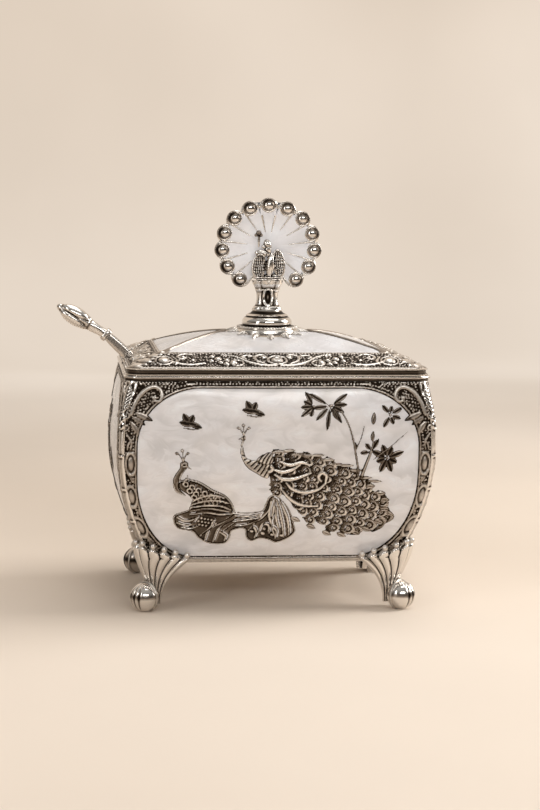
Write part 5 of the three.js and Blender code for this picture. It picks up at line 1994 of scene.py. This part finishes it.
bird = {
    # place across and up from the fan's middle, depth in front of it, half sizes across, deep and up, turn
    "forms": [
        (-4.0, -8.0, 2.6, 3.0, 2.0, 5.4, 6),
        (4.2, -6.8, 2.4, 2.5, 1.8, 6.0, -8),
        (0.6, -7.6, 3.2, 1.7, 1.9, 5.4, 4),
        (-2.6, -2.7, 3.4, 3.5, 1.5, 1.5, 8),
        (-0.6, 0.9, 3.0, 1.7, 1.5, 2.3, -20),
        (-0.4, -1.0, 3.0, 1.5, 1.5, 2.6, 0),
        (-2.3, 0.0, 3.6, 1.0, 0.9, 0.8, 25),
        (-2.6, -13.2, 2.0, 2.3, 1.8, 2.2, -35),
        (2.8, -13.2, 2.0, 2.3, 1.8, 2.2, 35),
        (0.1, -13.6, 2.3, 2.2, 1.9, 2.8, 0),
        (-4.2, 2.4, 3.0, 0.55, 0.5, 2.8, 0),
        (-4.3, 5.8, 3.0, 1.15, 0.9, 1.1, 0),
        (-5.4, 4.8, 3.0, 0.75, 0.7, 0.7, 0),
        (-3.2, 4.8, 3.0, 0.75, 0.7, 0.7, 0),
    ],
    "voxel": 0.2,
    "back": -0.6,
    "chasedBefore": -1.5,
    "dimple": 0.34,
    "featherLines": (-1.0, 2.0),
}


def makeBird():
    forms = []
    for x, z, depth, halfX, halfY, halfZ, turn in bird["forms"]:
        place = (x + offsetX, bird["back"] - depth, z + finial["fanMiddle"])
        forms.append(sphere("birdForm", place, 1, 24, 14, math.radians(turn), (halfX, halfY, halfZ)))
    piece = joined("peacockFigure", forms)
    cast = piece.modifiers.new("cast", "REMESH")
    cast.mode, cast.voxel_size = "VOXEL", bird["voxel"] * mm
    soft = piece.modifiers.new("soft", "SMOOTH")
    soft.factor, soft.iterations = 0.5, 3
    applyAll(piece)
    points = coordsOf(piece)
    x, z = points[:, 0] - offsetX, points[:, 2] - finial["fanMiddle"]
    # the first two forms are the wings
    shares = [ovalShare(x, z, (cx, cz), halfX, halfZ, turn) for cx, cz, _, halfX, _, halfZ, turn in bird["forms"][:2]]
    dimples = np.cos(2 * math.pi * (x + 0.55 * z) / 1.7) * np.cos(2 * math.pi * (x - 0.75 * z) / 1.7)
    chase = 0.12 * np.cos(2 * math.pi * z / 0.9) * ((z < -11.8) & (np.abs(x) < 5))
    for share in shares:
        chase += np.where(share < 0.8, bird["dimple"] * dimples - 0.2, 0) + 0.3 * bell(share - 0.92, 0.07)
    for line in bird["featherLines"]:
        chase -= 0.4 * bell(x - line - 0.06 * z, 0.3) * ((z < -3) & (z > -12.5))
    chase = chase * (points[:, 1] < bird["chasedBefore"])
    setCoords(piece, points + readVertices(piece, "normal") * chase[:, None])
    markHollows(piece, 3.2, 0.46, 1)
    tone = patinaOf(piece) + 0.2 * np.clip(4 - 4 * np.minimum(*shares), 0, 1) + 0.5 * (z > 2.6)
    tone = tone + 0.12 * ((z > -3) & (z < 2.6)) - 0.2 * ((np.abs(x - 0.7) < 1.3) & (z < -2))
    markPatina(piece, np.clip(tone, 0, 1))
    finish(piece, castSilver, "lid", "silver", "peacock_figure")


makeFinialBase()
makeStem()
makeFan()
makeFanBeads()
makeBird()
print("finial set")


# screws and the bosses that they hold under the base

screws = {
    "head": [(0.6, 21.95), (1.6, 22.3), (2.4, 22.2), (2.9, 21.8), (3.0, 21.4), (2.95, 21.12)],
    "shank": [(0.9, 14.5), (1.45, 15.0), (1.45, 21.1)],
    "headLow": 21.12,
    "place": (44.5, 28.0),
    "slotHalf": 0.45,
    "slotDepth": 0.45,
    "slotReach": 2.95,
    "shankRadius": 1.45,
    "finialLow": 108.4,
    "boss": [(4.2, 13.6), (4.8, 13.9), (5.0, 14.5), (5.0, 18.8), (5.4, 19.3), (5.6, 19.48)],
    # distance towards the corner, half width and lower edge
    "web": [(0.0, 4.2, 13.7), (6.5, 3.2, 13.9), (9.0, 2.8, 14.2)],
    "webTop": 19.4,
}


def cutSlot(piece, x, y, inHead, down):
    points = coordsOf(piece)
    apart = points[:, 0] - x - offsetX
    radius = np.hypot(apart, points[:, 1] - y)
    slot = (np.abs(apart) < screws["slotHalf"]) & inHead(points[:, 2]) & (radius < screws["slotReach"])
    points[slot, 2] -= down
    setCoords(piece, points)


def makeLegScrew(x, y, corner):
    piece = turnedPiece(camel(corner) + "Screw", screws["shank"] + screws["head"][::-1], x, y, 48)
    cutSlot(piece, x, y, lambda z: z > screws["headLow"] + 0.48, screws["slotDepth"])
    finish(piece, steel, "body", "screw", "leg_screw_" + corner, sharp=30)


def makeFinialScrew():
    # upside down, its head under the lid
    high, low, r = screws["finialLow"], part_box("finial_screw")[1].z / mm, screws["shankRadius"]
    head = [(wide, high - (z - screws["headLow"])) for wide, z in screws["head"]]
    piece = turnedPiece("finialScrew", head + [(r, high), (r, low - 0.5), (0.9, low)], count=48)
    cutSlot(piece, 0.0, 0.0, lambda z: z < high - 0.5, -screws["slotDepth"])
    finish(piece, steel, "lid", "screw", "finial_screw", sharp=30)


def makeBoss(x, y, way, name):
    boss = turnedPiece(name + "Boss", screws["boss"], x, y, 40)
    beside = (-way[1], way[0])
    rings = []
    for out, half, low in screws["web"]:
        outline = [(-half, low), (half, low), (half, screws["webTop"]), (-half, screws["webTop"])]
        rings.append([
            (x + offsetX + way[0] * out + beside[0] * w, y + way[1] * out + beside[1] * w, z) for w, z in outline])
    web = sweep(name + "Web", rings)
    rounding = web.modifiers.new("round", "BEVEL")
    rounding.width, rounding.segments = 0.8 * mm, 3
    applyAll(web)
    finish(joined(name + "Boss", [boss, web]), innerSilver, "body", "silver", sharp=40)


for signX, signY, corner in corners:
    x, y = signX * screws["place"][0], signY * screws["place"][1]
    makeLegScrew(x, y, corner)
    makeBoss(x, y, np.array([signX, signY]) / math.sqrt(2), camel(corner))
makeFinialScrew()
print("screws driven")


# spoon: bud knob, collar, faceted handle that widens to the lid, and a bowl inside the box

spoon = {
    "tilt": 43,
    "crossing": (-55.36, 97.76),
    "outerStraight": 16.0,
    "innerStraight": 19.0,
    "knobBend": 12,
    "knobHalf": (8.6, 4.15),
    "knobRings": 48,
    "knobOval": (2.75, 6.4),
    "neck": 6.5,
    # share of the way from knob to collar, half width
    "neckRings": [(0.2, 2.25), (0.45, 2.1), (0.7, 2.1), (0.9, 2.2)],
    # distance from the collar's middle, half width
    "collar": [(-1.15, 2.2), (-1.05, 2.75), (-0.5, 3.05), (0.5, 3.05), (1.05, 2.75), (1.15, 2.2)],
    "bowlTilt": 60,
    "bowlLength": 28.0,
    "bowlHalf": 9.0,
    "bowlDepth": 4.6,
    "bowlWall": 1.1,
    "bowlEdge": 0.85,
    "bowlRings": 34,
    "tip": 22.55,
}


def wayAt(degrees):
    # inwards and down, by the angle from level
    a = math.radians(degrees)
    return np.array([math.cos(a), -math.sin(a)])


spoonDown = wayAt(spoon["tilt"])
spoonSteep = wayAt(spoon["bowlTilt"])
spoonCrossing = np.array(spoon["crossing"])
spoonBend = spoonCrossing + spoonDown * spoon["innerStraight"]
spoonFall = (spoon["tip"] - spoonBend[1]) / spoonSteep[1]
bowlStart = spoonBend + spoonSteep * (spoonFall - spoon["bowlLength"])
collarAt = spoonCrossing - spoonDown * spoon["outerStraight"]


def spoonRing(at, way, halfWidth, halfThickness, power=2.0, count=40, relief=None):
    a = turns(count)
    c, s = np.cos(a), np.sin(a)
    size = (np.abs(c) ** power + np.abs(s) ** power) ** (-1 / power)
    extra = relief(a) if relief else 0.0
    across, rise = c * (size * halfWidth + extra), s * (size * halfThickness + extra)
    return np.column_stack([at[0] - way[1] * rise + offsetX, across, at[1] + way[0] * rise])


def makeKnob():
    # from the pointed outer end towards the collar
    halfLong, halfRound = spoon["knobHalf"]
    ovalAcross, ovalLong = spoon["knobOval"]
    inwards = wayAt(spoon["tilt"] - spoon["knobBend"])
    knobAt = collarAt - inwards * (spoon["neck"] + halfLong)
    rings = []
    for s in np.linspace(-0.995, 0.99, spoon["knobRings"]):
        r = max(halfRound * (1 - abs(s) ** 2.2) ** 0.62 * (0.92 + 0.1 * s), 0.35 if s < 0 else 2.35)

        def relief(a):
            # four ovals round the knob and a ring behind them
            value = 0.22 * bell(s - 0.72, 0.06)
            for centre in (45, 135, 225, 315):
                turn = (a - math.radians(centre) + math.pi) % (2 * math.pi) - math.pi
                q = np.hypot(turn * max(r, 1.0) / ovalAcross, (s + 0.04) * halfLong / ovalLong)
                value = value - 0.5 * bell(q - 1.0, 0.16) + 0.3 * np.clip(1 - q * q, 0, 1)
            return value * min(1, r / 2.0)

        rings.append(spoonRing(knobAt + inwards * s * halfLong, inwards, r, r, count=72, relief=relief))
    for s, half in spoon["neckRings"]:
        at = knobAt + inwards * halfLong
        rings.append(spoonRing(at + (collarAt - at) * s, inwards, half, half * 0.95, 2.6, 72))
    return sweep("spoonKnob", rings)


def makeHandle():
    halfBend = (spoonDown + spoonSteep) / np.linalg.norm(spoonDown + spoonSteep)
    line = [
        # place, direction, half width, half thickness
        (collarAt + spoonDown * 0.6, spoonDown, 1.9, 1.75),
        (collarAt + spoonDown * 2.6, spoonDown, 2.15, 2.05),
        (collarAt + spoonDown * 7.0, spoonDown, 2.5, 2.3),
        (spoonCrossing - spoonDown * 4.5, spoonDown, 2.7, 2.3),
        (spoonCrossing, spoonDown, 2.5, 2.1),
        (spoonBend - spoonDown * 4.0, spoonDown, 2.35, 1.95),
        (spoonBend, halfBend, 2.2, 1.85),
        (spoonBend + spoonSteep * 4.0, spoonSteep, 2.05, 1.7),
        (spoonBend + (bowlStart - spoonBend) * 0.6, spoonSteep, 1.8, 1.5),
        (bowlStart + spoonSteep * 2.6, spoonSteep, 1.9, 1.2),
    ]
    rings = []
    for first, second in zip(line, line[1:]):
        for s in np.linspace(0, 1, 5)[:-1]:
            at, way, half, thick = (a * (1 - s) + b * s for a, b in zip(first, second))
            rings.append(spoonRing(at, way / np.linalg.norm(way), half, thick, 4.5, 48))
    rings.append(spoonRing(*line[-1], 2.4, 48))
    return sweep("spoonHandle", rings)


def makeBowl():
    angles = np.radians(np.linspace(180, 360, 25))
    rings = []
    for share in np.linspace(0.03, 0.985, spoon["bowlRings"]):
        full = math.sqrt(max(1 - ((share - 0.55) / 0.6) ** 2, 0)) * min(1, share * 4 + 0.3)
        half = max(spoon["bowlHalf"] * full, 1.5)
        depth = max(spoon["bowlDepth"] * full, 1.3)
        at = bowlStart + spoonSteep * spoon["bowlLength"] * share
        ring = []
        within = (half - spoon["bowlEdge"], depth - spoon["bowlWall"], angles[::-1])
        for wide, deep, a in ((half, depth, angles), within):
            rise = np.sin(a) * max(deep, 0.3)
            across = np.cos(a) * max(wide, 0.5)
            ring.append(np.column_stack([
                at[0] - spoonSteep[1] * rise + offsetX, across, at[1] + spoonSteep[0] * rise]))
        rings.append(np.concatenate(ring))
    return sweep("spoonBowl", rings)


def makeSpoon():
    knob = makeKnob()
    rings = []
    for offset, half in spoon["collar"]:
        rings.append(spoonRing(collarAt + spoonDown * offset, spoonDown, half, half * 0.95, 3.2))
    collar, handle, bowl = sweep("spoonCollar", rings), makeHandle(), makeBowl()
    markHollows(knob, 1.6, 0.3, 4)
    for part, tone in ((handle, 0.3), (collar, 0.26), (bowl, 0.24)):
        markPatina(part, tone)
    whole = joined("sugarSpoon", [handle, knob, collar, bowl])
    finish(whole, spoonSilver, "spoon", "spoon_silver", "spoon", sharp=40)


makeSpoon()
print("spoon laid in")
